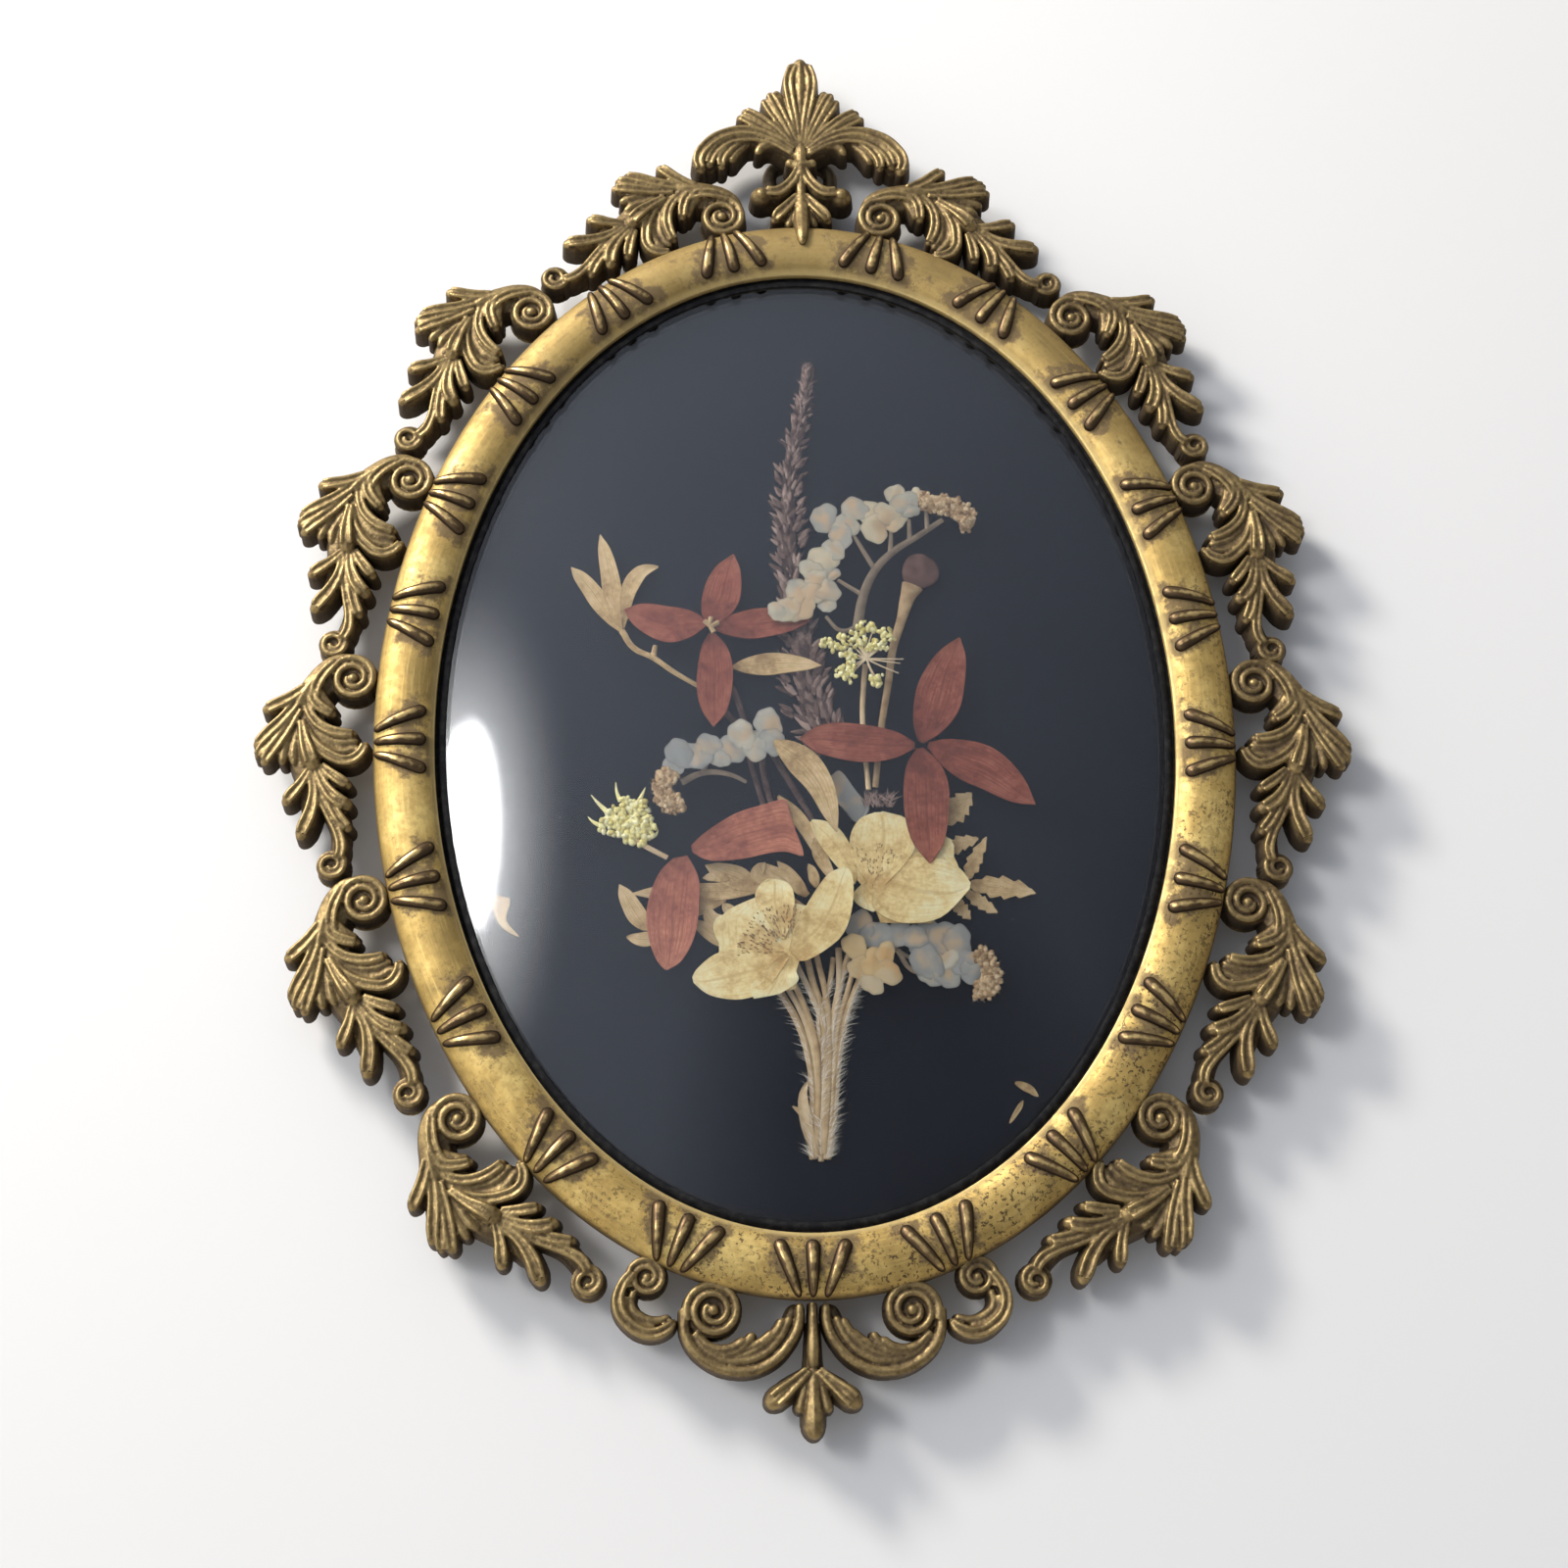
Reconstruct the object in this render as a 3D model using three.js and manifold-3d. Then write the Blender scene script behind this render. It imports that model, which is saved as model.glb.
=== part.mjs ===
// An oval cast frame with a domed glass, and a bouquet of pressed flowers on a dark cloth board.
// It lies on its back: +Z is the front, +Y the top, millimetres.
// The origin is the middle of the oval, on the underside of the back cover.
import * as THREE from "three";
import { mergeVertices } from "three/addons/utils/BufferGeometryUtils.js";
import Module from "manifold-3d";

const wasm = await Module();
wasm.setup();

// Oval rim: a rounded band on a plain skirt
const rimHalfWidth = 64.5;
const rimHalfHeight = 85.2;
const bandWidth = 9.1;
const bandOuterZ = 7;
const bandInnerZ = 7.6;
const bandRise = 2.6;
const bandSteps = 4;
const skirtInset = 2;
const skirtWall = 1.6;
const lipThickness = 0.6;
const ovalSides = 36;
const fit = 0.3; // clear space between pieces that touch

// Fans of three raised ribs on the band, and how far round the oval each fan stands from the bottom
const fanAngles = [0, 18, 37, 55.5, 71.5, 87, 101.5, 115.5, 131.5, 149.5, 168.5];
const ribSplay = 21;
const ribSpacing = 1.7;
const ribWidth = 1.1;
const ribRise = 0.9;
const ribShares = [0.2, 0.5, 0.76]; // where a rib starts, bends and ends across the band
const topRibShares = [0.1, 0.25, 0.5]; // the single rib under the crest is shorter

// Pieces inside the rim, from the back
const coverThickness = 1.2;
const boardBackZ = 1.5;
const boardFrontZ = 3.9;
const linerShow = 1.6; // dark liner seen between the gold lip and the glass
const linerLedge = 0.7;
const linerLedgeZ = 5.5;
const glassThickness = 1.2;
const glassDome = 8;
const glassSides = 28;
const glassSteps = 3;

// Cast border: a slab with ridges on its face
const slabBackZ = 4;
const slabFrontZ = 7.6;
const ridgeRise = 1.4;
const ridgeSink = 0.1;
const voluteSides = 9;
const voluteRise = 0.55; // the scroll's edge above the slab, and its middle stands as high as the ridges
const voluteMiddle = 0.6; // the middle's share of the scroll's radius
const ballSides = 8;
const ballRise = 0.8;
const ballTop = 0.7; // a ball's flat top, as a share of its radius

// Leaf scrolls: where each volute is on the left side, and which way the leaf runs from it
const leafPlaces = [
  { x: -12.9, y: 87.1, turn: -156.1 },
  { x: -43.2, y: 69.1, turn: -128.9 },
  { x: -61, y: 39.2, turn: -110.1 },
  { x: -67.9, y: 6.2, turn: -92.7 },
  { x: -64.4, y: -28.3, turn: -74.4 },
  { x: -49.6, y: -60.1, turn: -50 },
];
const voluteRadius = 3.5;
const tailBall = { x: 29.4, y: 0, radius: 1.9 };

// One leaf's edge from its volute: along the leaf and out from the rim
const leafOutline = [
  [-3.3, 0.6], [-2.1, 4.3], [3, 9.8], [5.2, 13.4], [6.7, 13.1], [7.5, 11.7], [11.4, 14.6], [15.5, 13.2],
  [14.4, 10.6], [15.8, 8.4], [15.2, 6.9], [17.6, 7.4], [20.2, 9.4], [21.3, 8.3], [19.6, 6.2],
  [25.6, 6.2], [26.4, 4.7], [23.6, 2.5], [27.8, -0.6], [25.3, -2.8], [23, -1.2], [21.4, -3],
  [18.6, -0.9], [15.6, 1.5], [13.9, -1.8], [11.6, -3.6], [8.6, -2.5], [8, 1.1], [5.8, 2.8], [1, 0],
];
// Ridges of one leaf: root, tip and width
const leafRidges = [
  [[0.4, 5.4], [6.1, 13], 2.6],
  [[5.6, 9.6], [13.6, 13.8], 3],
  [[7.4, 7], [15.9, 6.8], 2.6],
  [[4, 7.2], [9, -2], 2.4],
  [[9.4, 5.4], [13.2, -2.6], 2.6],
  [[18.4, 4.6], [26, 5.4], 2.2],
  [[17.2, 3.2], [25.2, -2.4], 2.4],
];

// Crest above the rim
const crestOutline = [
  [0, 118.2], [2.2, 116.6], [3.2, 112], [4.6, 112.2], [6.6, 111.2], [7.2, 108.6], [10.6, 107.6],
  [12, 104.6], [15.6, 103.2], [18.2, 99.6], [18.8, 96.8], [17.2, 95.3], [14, 95.3], [12.6, 96.6],
  [9.4, 97.6], [5.6, 97.6], [3.4, 98.2], [1.8, 96.6], [1.9, 94], [5, 90.6], [4.4, 88.2], [5.2, 85],
  [3, 83.4], [0, 82.4],
];
const crestRidges = [
  [[0, 101], [0, 117.6], 3.4],
  [[1, 101], [5.4, 111.4], 3],
  [[2, 100.4], [9.8, 107.2], 2.8],
  [[2.4, 98.8], [12.6, 103.2], 2.4],
  [[11.6, 102.4], [17.2, 96.2], 3],
  [[0, 99.6], [0, 94.2], 3],
  [[0, 93.4], [0, 85.8], 2],
  [[0.8, 91], [4.9, 85.8], 2],
];
const crestBall = { x: 6.8, y: 90.5, radius: 2.2 };

// Pendant below the rim
const pendantOutline = [
  [0, -83.4], [3, -84], [2, -88.6], [5, -86.6], [5.6, -89], [8.4, -89.4], [10.4, -90.2],
  [17.8, -87.6], [18, -91], [15, -95.2], [10.4, -97], [7.6, -97.2], [7.4, -99.8], [5.4, -100.4],
  [3.4, -100.4], [2.3, -101], [2, -103.4], [0, -104.4],
];
const pendantRidges = [
  [[0, -94.4], [0, -103.8], 2.4],
  [[1, -94.4], [6.4, -99.2], 2.8],
  [[0, -88.6], [0, -93.6], 1.8],
  [[1.8, -85.6], [3.4, -92], 1.8],
  [[4, -92.4], [11, -95.2], 2.2],
  [[11.6, -94.6], [17.2, -90.6], 2.2],
  [[5.4, -88.6], [10, -92.8], 1.8],
];
const pendantVolute = { x: 13.6, y: -86.4, radius: 4.2 };

// Small scroll between the pendant and the last leaf
const smallScrollOutline = [
  [20.6, -83], [23.6, -85.6], [21.2, -86.8], [18.9, -87.6], [18.9, -89.6], [22.4, -91.6], [26.2, -89.6],
  [27.6, -86.2], [26, -83], [24.6, -81],
];
const smallScrollRidges = [
  [[25, -82.6], [26.2, -88], 2.2],
  [[26, -87], [19.8, -89.2], 2.4],
];
const smallScrollVolute = { x: 22.8, y: -82, radius: 2.9 };

// Hanging loop behind the neck of the crest
const loopHalfWidth = 5.9;
const loopBottomY = 90;
const loopTopY = 101;
const loopBar = 2.1;
const loopBackZ = 1.1;

// Pressed flowers lie in thin layers on the board
const pressed = 0.45;
const layerStep = 0.75;

const colours = {
  gilt: { color: 0xb08a3c, roughness: 0.38, metalness: 1 },
  castBrass: { color: 0x7d5f2e, roughness: 0.45, metalness: 1 },
  darkBrass: { color: 0x4a3a22, roughness: 0.6, metalness: 0.8 },
  glass: { color: 0xf2f6f8, roughness: 0.03, metalness: 0, transparent: true, opacity: 0.18 },
  cloth: { color: 0x161c27, roughness: 0.95, metalness: 0 },
  liner: { color: 0x0c0c0e, roughness: 0.8, metalness: 0 },
  card: { color: 0x2a2420, roughness: 0.9, metalness: 0 },
  spike: { color: 0x5d4a48, roughness: 0.9, metalness: 0 },
  redPetal: { color: 0x8c3526, roughness: 0.8, metalness: 0 },
  bluePetal: { color: 0x9fb0b8, roughness: 0.8, metalness: 0 },
  whitePetal: { color: 0xd9cfb8, roughness: 0.8, metalness: 0 },
  creamPetal: { color: 0xdcc78d, roughness: 0.75, metalness: 0 },
  peachPetal: { color: 0xcda878, roughness: 0.8, metalness: 0 },
  umbel: { color: 0xcfc678, roughness: 0.85, metalness: 0 },
  bud: { color: 0x6b4a40, roughness: 0.8, metalness: 0 },
  dryLeaf: { color: 0xb59c70, roughness: 0.85, metalness: 0 },
  dryStem: { color: 0xb99a6c, roughness: 0.85, metalness: 0 },
};

const frame = new THREE.Group();

// Solids and meshes

function solidOf(geometry) {
  const bare = geometry.clone();
  bare.deleteAttribute("normal");
  bare.deleteAttribute("uv");
  const merged = mergeVertices(bare, 1e-4);
  return new wasm.Manifold(
    new wasm.Mesh({
      numProp: 3,
      vertProperties: merged.attributes.position.array,
      triVerts: new Uint32Array(merged.index.array),
    }),
  );
}

function geometryOf(solid) {
  const mesh = solid.getMesh();
  const geometry = new THREE.BufferGeometry();
  geometry.setAttribute("position", new THREE.BufferAttribute(mesh.vertProperties, 3));
  geometry.setIndex(new THREE.BufferAttribute(mesh.triVerts, 1));
  geometry.computeVertexNormals();
  return geometry;
}

function joined(geometries) {
  return geometries.map(solidOf).reduce((whole, next) => whole.add(next));
}

function addPiece(name, geometry, colour) {
  const mesh = new THREE.Mesh(geometry, new THREE.MeshStandardMaterial(colours[colour]));
  mesh.name = name;
  frame.add(mesh);
  return mesh;
}

function radians(degrees) {
  return THREE.MathUtils.degToRad(degrees);
}

// A closed profile of [inset, z] points turned round the oval; inset is measured in from the rim's edge
function ovalRing(profile) {
  const points = profile.map(([inset, z]) => new THREE.Vector2(rimHalfWidth - inset, z));
  points.push(points[0].clone());
  const ring = new THREE.LatheGeometry(points, ovalSides);
  ring.rotateX(Math.PI / 2);
  const place = ring.attributes.position;
  const longer = rimHalfHeight - rimHalfWidth;
  for (let i = 0; i < place.count; i += 1) {
    const angle = Math.atan2(place.getY(i), place.getX(i));
    place.setY(i, place.getY(i) + longer * Math.sin(angle));
  }
  return ring;
}

function ovalPlate(inset, backZ, frontZ) {
  const shape = new THREE.Shape();
  shape.absellipse(0, 0, rimHalfWidth - inset, rimHalfHeight - inset, 0, Math.PI * 2);
  const depth = frontZ - backZ;
  const plate = new THREE.ExtrudeGeometry(shape, {
    depth,
    bevelEnabled: false,
    curveSegments: ovalSides / 2,
  });
  return plate.translate(0, 0, backZ);
}

function slabOf(outline, backZ, frontZ) {
  const shape = new THREE.Shape(outline.map(([x, y]) => new THREE.Vector2(x, y)));
  const slab = new THREE.ExtrudeGeometry(shape, { depth: frontZ - backZ, bevelEnabled: false });
  return slab.translate(0, 0, backZ);
}

// A long four-sided swelling from a root to a tip, half sunk in the slab
function ridge([root, tip, width]) {
  const swelling = new THREE.OctahedronGeometry(1);
  const along = tip[0] - root[0];
  const across = tip[1] - root[1];
  swelling.scale(Math.hypot(along, across) / 2, width / 2, ridgeRise);
  swelling.rotateZ(Math.atan2(across, along));
  return swelling.translate((root[0] + tip[0]) / 2, (root[1] + tip[1]) / 2, slabFrontZ - ridgeSink);
}

function disc(x, y, radius, backZ, frontZ, sides, topShare = 1) {
  const round = new THREE.CylinderGeometry(radius * topShare, radius, frontZ - backZ, sides);
  round.rotateX(Math.PI / 2);
  return round.translate(x, y, (backZ + frontZ) / 2);
}

function volute(x, y, radius) {
  return [
    disc(x, y, radius, slabBackZ, slabFrontZ + voluteRise, voluteSides),
    disc(x, y, radius * voluteMiddle, slabFrontZ, slabFrontZ + ridgeRise, 4, 0.5),
  ];
}

function ball({ x, y, radius }) {
  return disc(x, y, radius, slabBackZ, slabFrontZ + ballRise, ballSides, ballTop);
}

const mirrorAcross = (outline) => outline.map(([x, y]) => [-x, y]);
const mirrorUp = (outline) => outline.map(([x, y]) => [x, -y]);
const mirrorRidges = (ridges, flip) =>
  ridges.map(([root, tip, width]) => [...flip([root, tip]), width]);

// A half outline that starts and ends on the middle line, closed with its mirror image
function bothHalves(half) {
  const middle = half.slice(1, -1);
  return [...half, ...mirrorAcross(middle).reverse()];
}

// Everything within the rim's edge is cut from the border, so that the border stands against the rim
const rimCutter = solidOf(ovalPlate(-fit, -1, slabFrontZ + 4 * ridgeRise));

// Oval rim with its rib fans

function bandPoint(share) {
  const turn = share * Math.PI;
  const inset = (bandWidth / 2) * (1 - Math.cos(turn));
  const edgeZ = THREE.MathUtils.lerp(bandOuterZ, bandInnerZ, share);
  return [inset, edgeZ + bandRise * Math.sin(turn)];
}

function rimRing() {
  const band = [];
  for (let i = 0; i <= bandSteps; i += 1) {
    band.push(bandPoint(i / bandSteps));
  }
  const lipZ = bandInnerZ - lipThickness;
  return ovalRing([
    [skirtInset, 0],
    [skirtInset, bandOuterZ - lipThickness],
    ...band,
    [bandWidth, lipZ],
    [skirtInset + skirtWall, lipZ],
    [skirtInset + skirtWall, 0],
  ]);
}

// One rib: a three-sided bar bent over the band, its edge up
function rib(shares) {
  const bends = shares.length - 1;
  const bar = new THREE.CylinderGeometry(1, 1, bends, 3, bends);
  const place = bar.attributes.position;
  for (let i = 0; i < place.count; i += 1) {
    const [inset, z] = bandPoint(shares[Math.round(place.getY(i) + bends / 2)]);
    place.setXYZ(i, inset, -ribWidth * place.getX(i), z + ribRise * place.getZ(i));
  }
  return bar;
}

// A rib starts at the rim's edge, at an angle round the oval from the bottom; place is its place in the fan
function placedRib(angle, place, shares = ribShares) {
  const around = radians(angle) - Math.PI / 2;
  const edge = new THREE.Vector2(rimHalfWidth * Math.cos(around), rimHalfHeight * Math.sin(around));
  const inward = Math.atan2(-rimHalfWidth * Math.sin(around), -rimHalfHeight * Math.cos(around));
  const bar = rib(shares);
  bar.rotateZ(radians(place * ribSplay));
  bar.translate(0, place * ribSpacing, 0);
  bar.rotateZ(inward);
  return bar.translate(edge.x, edge.y, 0);
}

function rimWithFans() {
  const ribs = [placedRib(180, 0, topRibShares)];
  for (const angle of fanAngles) {
    for (const side of angle === 0 ? [1] : [1, -1]) {
      for (const place of [-1, 0, 1]) {
        ribs.push(placedRib(side * angle, place));
      }
    }
  }
  return joined([rimRing(), ...ribs]);
}

addPiece("rim", geometryOf(rimWithFans()), "gilt");

// Pieces behind and inside the rim

const innerInset = skirtInset + skirtWall + fit;
addPiece("back_cover", ovalPlate(innerInset, 0, coverThickness), "card");
addPiece("backing_board", ovalPlate(innerInset, boardBackZ, boardFrontZ), "cloth");

const linerFrontZ = bandInnerZ - lipThickness - fit;
const glassInset = bandWidth + linerShow + fit;
addPiece(
  "liner",
  ovalRing([
    [innerInset, boardFrontZ + fit],
    [innerInset, linerFrontZ],
    [bandWidth + linerShow, linerFrontZ],
    [bandWidth + linerShow, linerLedgeZ],
    [bandWidth + linerShow + linerLedge, linerLedgeZ],
    [bandWidth + linerShow + linerLedge, boardFrontZ + fit],
  ]),
  "liner",
);

// The glass is a shallow dome of even thickness, round in plan and then stretched to the oval
function domedGlass() {
  const under = [];
  const over = [];
  const edgeZ = linerLedgeZ + fit;
  for (let i = 0; i <= glassSteps; i += 1) {
    const reach = i / glassSteps;
    const rise = glassDome * (1 - reach * reach);
    under.push(new THREE.Vector2(reach, edgeZ + rise));
    over.unshift(new THREE.Vector2(reach, edgeZ + glassThickness + rise));
  }
  const dome = new THREE.LatheGeometry([...under, ...over], glassSides);
  dome.rotateX(Math.PI / 2);
  return dome.scale(rimHalfWidth - glassInset, rimHalfHeight - glassInset, 1);
}

addPiece("glass", domedGlass(), "glass");

// Leaf scrolls round both sides: right ones as drawn, left ones mirrored

function leafScroll(side) {
  const flip = side === "left" ? mirrorUp : (points) => points;
  return joined([
    slabOf(flip(leafOutline), slabBackZ, slabFrontZ),
    ...volute(0, 0, voluteRadius),
    ball(tailBall),
    ...mirrorRidges(leafRidges, flip).map(ridge),
  ]);
}

for (const side of ["left", "right"]) {
  const leaf = leafScroll(side);
  leafPlaces.forEach((place, index) => {
    const spot = new THREE.Group();
    spot.position.set(side === "left" ? place.x : -place.x, place.y, 0);
    spot.rotation.z = radians(side === "left" ? place.turn : 180 - place.turn);
    spot.updateMatrix();
    const cutter = rimCutter.transform(spot.matrix.clone().invert().elements);
    const mesh = addPiece(
      `leaf_scroll_${side}_${index + 1}`,
      geometryOf(leaf.subtract(cutter)),
      "castBrass",
    );
    spot.add(mesh);
    frame.add(spot);
  });
}

// Crest, pendant and the two small scrolls

function bothSides(ridges) {
  const offMiddle = ridges.filter(([root, tip]) => root[0] !== 0 || tip[0] !== 0);
  return [...ridges, ...mirrorRidges(offMiddle, mirrorAcross)].map(ridge);
}

const crest = joined([
  slabOf(bothHalves(crestOutline), slabBackZ, slabFrontZ),
  ...bothSides(crestRidges),
  ...[-1, 1].map((side) => ball({ ...crestBall, x: side * crestBall.x })),
]);
addPiece("crest", geometryOf(crest.subtract(rimCutter)), "castBrass");

const pendant = joined([
  slabOf(bothHalves(pendantOutline), slabBackZ, slabFrontZ),
  ...bothSides(pendantRidges),
  ...[-1, 1].flatMap((side) => volute(side * pendantVolute.x, pendantVolute.y, pendantVolute.radius)),
]);
addPiece("pendant", geometryOf(pendant.subtract(rimCutter)), "castBrass");

for (const side of ["left", "right"]) {
  const flip = side === "left" ? mirrorAcross : (points) => points;
  const reach = side === "left" ? -1 : 1;
  const scroll = joined([
    slabOf(flip(smallScrollOutline), slabBackZ, slabFrontZ),
    ...volute(reach * smallScrollVolute.x, smallScrollVolute.y, smallScrollVolute.radius),
    ...mirrorRidges(smallScrollRidges, flip).map(ridge),
  ]);
  addPiece(`small_scroll_${side}`, geometryOf(scroll.subtract(rimCutter)), "castBrass");
}

// Hanging loop: a flat oblong eye

function hangingLoop() {
  const width = loopHalfWidth;
  const corner = 2;
  const shape = new THREE.Shape();
  shape.moveTo(-width, loopBottomY);
  shape.lineTo(width, loopBottomY);
  shape.lineTo(width, loopTopY - corner);
  shape.lineTo(width - corner, loopTopY);
  shape.lineTo(corner - width, loopTopY);
  shape.lineTo(-width, loopTopY - corner);
  const eye = new THREE.Path();
  eye.moveTo(loopBar - width, loopBottomY + loopBar);
  eye.lineTo(width - loopBar, loopBottomY + loopBar);
  eye.lineTo(width - loopBar, loopTopY - loopBar);
  eye.lineTo(loopBar - width, loopTopY - loopBar);
  shape.holes.push(eye);
  const depth = slabBackZ - fit - loopBackZ;
  return new THREE.ExtrudeGeometry(shape, { depth, bevelEnabled: false }).translate(0, 0, loopBackZ);
}

addPiece("hanging_loop", hangingLoop(), "darkBrass");

// Outlines of pressed pieces

// A pointed blade from base to tip, widest at a share of its length
function blade(base, tip, width, widest = 0.5) {
  const along = new THREE.Vector2(tip[0] - base[0], tip[1] - base[1]);
  const side = new THREE.Vector2(-along.y, along.x).normalize();
  const at = (share, half) => [
    base[0] + along.x * share + side.x * half,
    base[1] + along.y * share + side.y * half,
  ];
  const half = width / 2;
  const shares = [
    [0, 0.25],
    [widest * 0.6, 0.9],
    [(1 + widest) / 2, 0.85],
  ];
  const right = shares.map(([share, part]) => at(share, -half * part));
  const left = shares.map(([share, part]) => at(share, half * part));
  return [...right, tip, ...left.reverse()];
}

// A four-cornered blade
function kite(base, tip, width) {
  const along = new THREE.Vector2(tip[0] - base[0], tip[1] - base[1]);
  const side = new THREE.Vector2(-along.y, along.x).setLength(width / 2);
  const middle = [base[0] + along.x * 0.55, base[1] + along.y * 0.55];
  return [base, [middle[0] - side.x, middle[1] - side.y], tip, [middle[0] + side.x, middle[1] + side.y]];
}

// A strip of even width along a run of points
function strip(points, width) {
  const sideAt = (i) => {
    const before = points[Math.max(i - 1, 0)];
    const after = points[Math.min(i + 1, points.length - 1)];
    return new THREE.Vector2(before[1] - after[1], after[0] - before[0]).setLength(width / 2);
  };
  const left = points.map(([x, y], i) => [x + sideAt(i).x, y + sideAt(i).y]);
  const right = points.map(([x, y], i) => [x - sideAt(i).x, y - sideAt(i).y]);
  return [...right, ...left.reverse()];
}

// A flower of shallow lobes
function rosette([x, y], radius, lobes = 5, turn = 0) {
  const corners = lobes * 2;
  return Array.from({ length: corners }, (unused, i) => {
    const angle = turn + (i * Math.PI * 2) / corners;
    const reach = i % 2 ? radius * 0.7 : radius;
    return [x + reach * Math.cos(angle), y + reach * Math.sin(angle)];
  });
}

// A flower too small to show its lobes
function floret([x, y], radius, corners, turn = 0) {
  return Array.from({ length: corners }, (unused, i) => {
    const angle = turn + (i * Math.PI * 2) / corners;
    return [x + radius * Math.cos(angle), y + radius * Math.sin(angle)];
  });
}

// Outlines pressed flat in one layer and joined
function addPressed(name, outlines, layer, colour, thickness = pressed) {
  const backZ = boardFrontZ + fit + layer * layerStep;
  const flat = joined(outlines.map((outline) => slabOf(outline, backZ, backZ + thickness)));
  addPiece(name, geometryOf(flat), colour);
}

// Pressed bouquet

function spikeOutlines() {
  const spine = [[1, 60.4], [0.2, 54.9], [-2.3, 42.6], [-2.4, 29.4], [-0.8, 14.1], [0.4, 3.8], [4, -3]];
  const path = new THREE.SplineCurve(spine.map(([x, y]) => new THREE.Vector2(x, y)));
  const bracts = 11;
  const lean = radians(35);
  const outlines = [strip(spine, 1.8)];
  for (let i = 0; i < bracts; i += 1) {
    const share = 1 - (i + 0.5) / bracts;
    const from = path.getPoint(share);
    const ahead = path.getTangent(share).negate();
    const length = THREE.MathUtils.lerp(3, 6.4, Math.min(1, share * 2));
    const tip = ahead.rotateAround(new THREE.Vector2(), i % 2 ? lean : -lean).setLength(length).add(from);
    outlines.push(kite([from.x, from.y], [tip.x, tip.y], 3));
  }
  return outlines;
}

function fourPetals(centre, tips, width) {
  const heart = 1.5;
  return [floret(centre, heart, 4), ...tips.map((tip) => blade(centre, tip, width, 0.55))];
}

// A curled spray: a stem, its blossoms and the rolled end
function spray(stem, blossoms, curl, twigs = []) {
  const blossom = 2.9;
  return [
    strip(stem, 0.8),
    strip(curl, 3),
    ...twigs.map((twig) => strip(twig, 0.6)),
    ...blossoms.map((place, i) => floret(place, blossom, 5, i)),
  ];
}

// Rays from a hub, each with a small head
function umbel(hub, heads, stemEnd) {
  return [
    strip([hub, stemEnd], 0.7),
    ...heads.flatMap((head) => [strip([hub, head], 0.5), floret(head, 2.2, 5)]),
  ];
}

function around([x, y], radii, start, step) {
  return radii.map((radius, i) => {
    const angle = radians(start + step * i);
    return [x + radius * Math.cos(angle), y + radius * Math.sin(angle)];
  });
}

addPressed("flower_spike", spikeOutlines(), 0, "spike");
addPressed(
  "red_flower_upper",
  fourPetals([-14, 15.7], [[-10.3, 28.4], [-27.2, 17.9], [-1, 16.4], [-13.9, -0.6]], 6.6),
  2,
  "redPetal",
);
addPressed(
  "red_flower_right",
  fourPetals([17.4, -3.8], [[23.6, 13.8], [-0.6, -3], [18, -22.4], [33.9, -13.9]], 6.8),
  3,
  "redPetal",
);
addPressed(
  "red_flower_lower",
  fourPetals([-17.8, -19.8], [[-2, -13.3], [-1, -20.6], [-20.7, -38.2]], 7.6),
  2,
  "redPetal",
);
addPressed(
  "forget_me_not_upper",
  spray(
    [[8.3, 16.4], [9.7, 22.4], [12.2, 26.2], [16.3, 30], [19.8, 33.4]],
    [
      [4.4, 33.4], [8.6, 35.4], [12.6, 35.6], [16.6, 36.8], [3.2, 29], [2.6, 24.6], [-0.2, 20.6],
    ],
    [[18.4, 35.2], [20.6, 36.6], [23.6, 36.8], [25.6, 34.8], [25.2, 31.8]],
    [[[10.8, 24.4], [2.6, 24.6], [-0.2, 20.6]]],
  ),
  3,
  "whitePetal",
);
addPressed(
  "forget_me_not_left",
  spray(
    [[-8.4, -4.2], [-9.2, -9.4], [-13.2, -9.1], [-18.6, -6]],
    [[-5.2, -0.2], [-8, -2.6], [-11.6, -4.2], [-15.4, -4], [-18.8, -4.8]],
    [[-19.4, -5.4], [-21.4, -8.6], [-20.6, -12.2], [-17.6, -13]],
  ),
  4,
  "bluePetal",
);
addPressed(
  "forget_me_not_lower",
  spray(
    [[8.2, -31.6], [14, -33.4], [20, -35.6]],
    [[9, -31.4], [12.8, -32.6], [17, -33.2], [19.6, -36.4], [23, -35.8]],
    [[22.6, -35], [26, -36], [26.6, -39.4], [24.4, -41.4]],
  ),
  1,
  "bluePetal",
);
addPressed("blue_petal", [rosette([5.7, -9.7], 2.8)], 0, "bluePetal");
addPressed(
  "umbel_right",
  umbel([9.8, 7.6], around([9.6, 9.8], [5, 5.4, 5.2, 4.8], 20, 56), [8.4, 0.8]),
  4,
  "umbel",
);
addPressed(
  "umbel_left",
  umbel([-26, -18], around([-26.2, -16.6], [4.4, 5, 4.8], 20, 66), [-20.6, -21.2]),
  1,
  "umbel",
);
addPressed(
  "round_bud",
  [
    floret([18.3, 24.6], 3.1, 9),
    strip([[17.4, 22], [15.4, 18.9], [13.6, 11.4], [12.2, 5.4], [11.7, -0.3]], 1.3),
  ],
  1,
  "bud",
);
addPressed(
  "leaf_sprig",
  [
    blade([-27.4, 14.6], [-35.6, 25.8], 3.2),
    blade([-27.6, 14.4], [-31.2, 31.2], 4.2),
    blade([-27.2, 15], [-22.2, 25.6], 2.6),
    strip([[-28, 15.4], [-26.4, 12.2], [-23.5, 10.4], [-19, 8.4], [-16.3, 5.9]], 1.2),
  ],
  1,
  "dryLeaf",
);
addPressed("pale_leaf_straight", [blade([-11, 8.6], [2.8, 9.2], 3.6)], 1, "dryLeaf");
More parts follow.
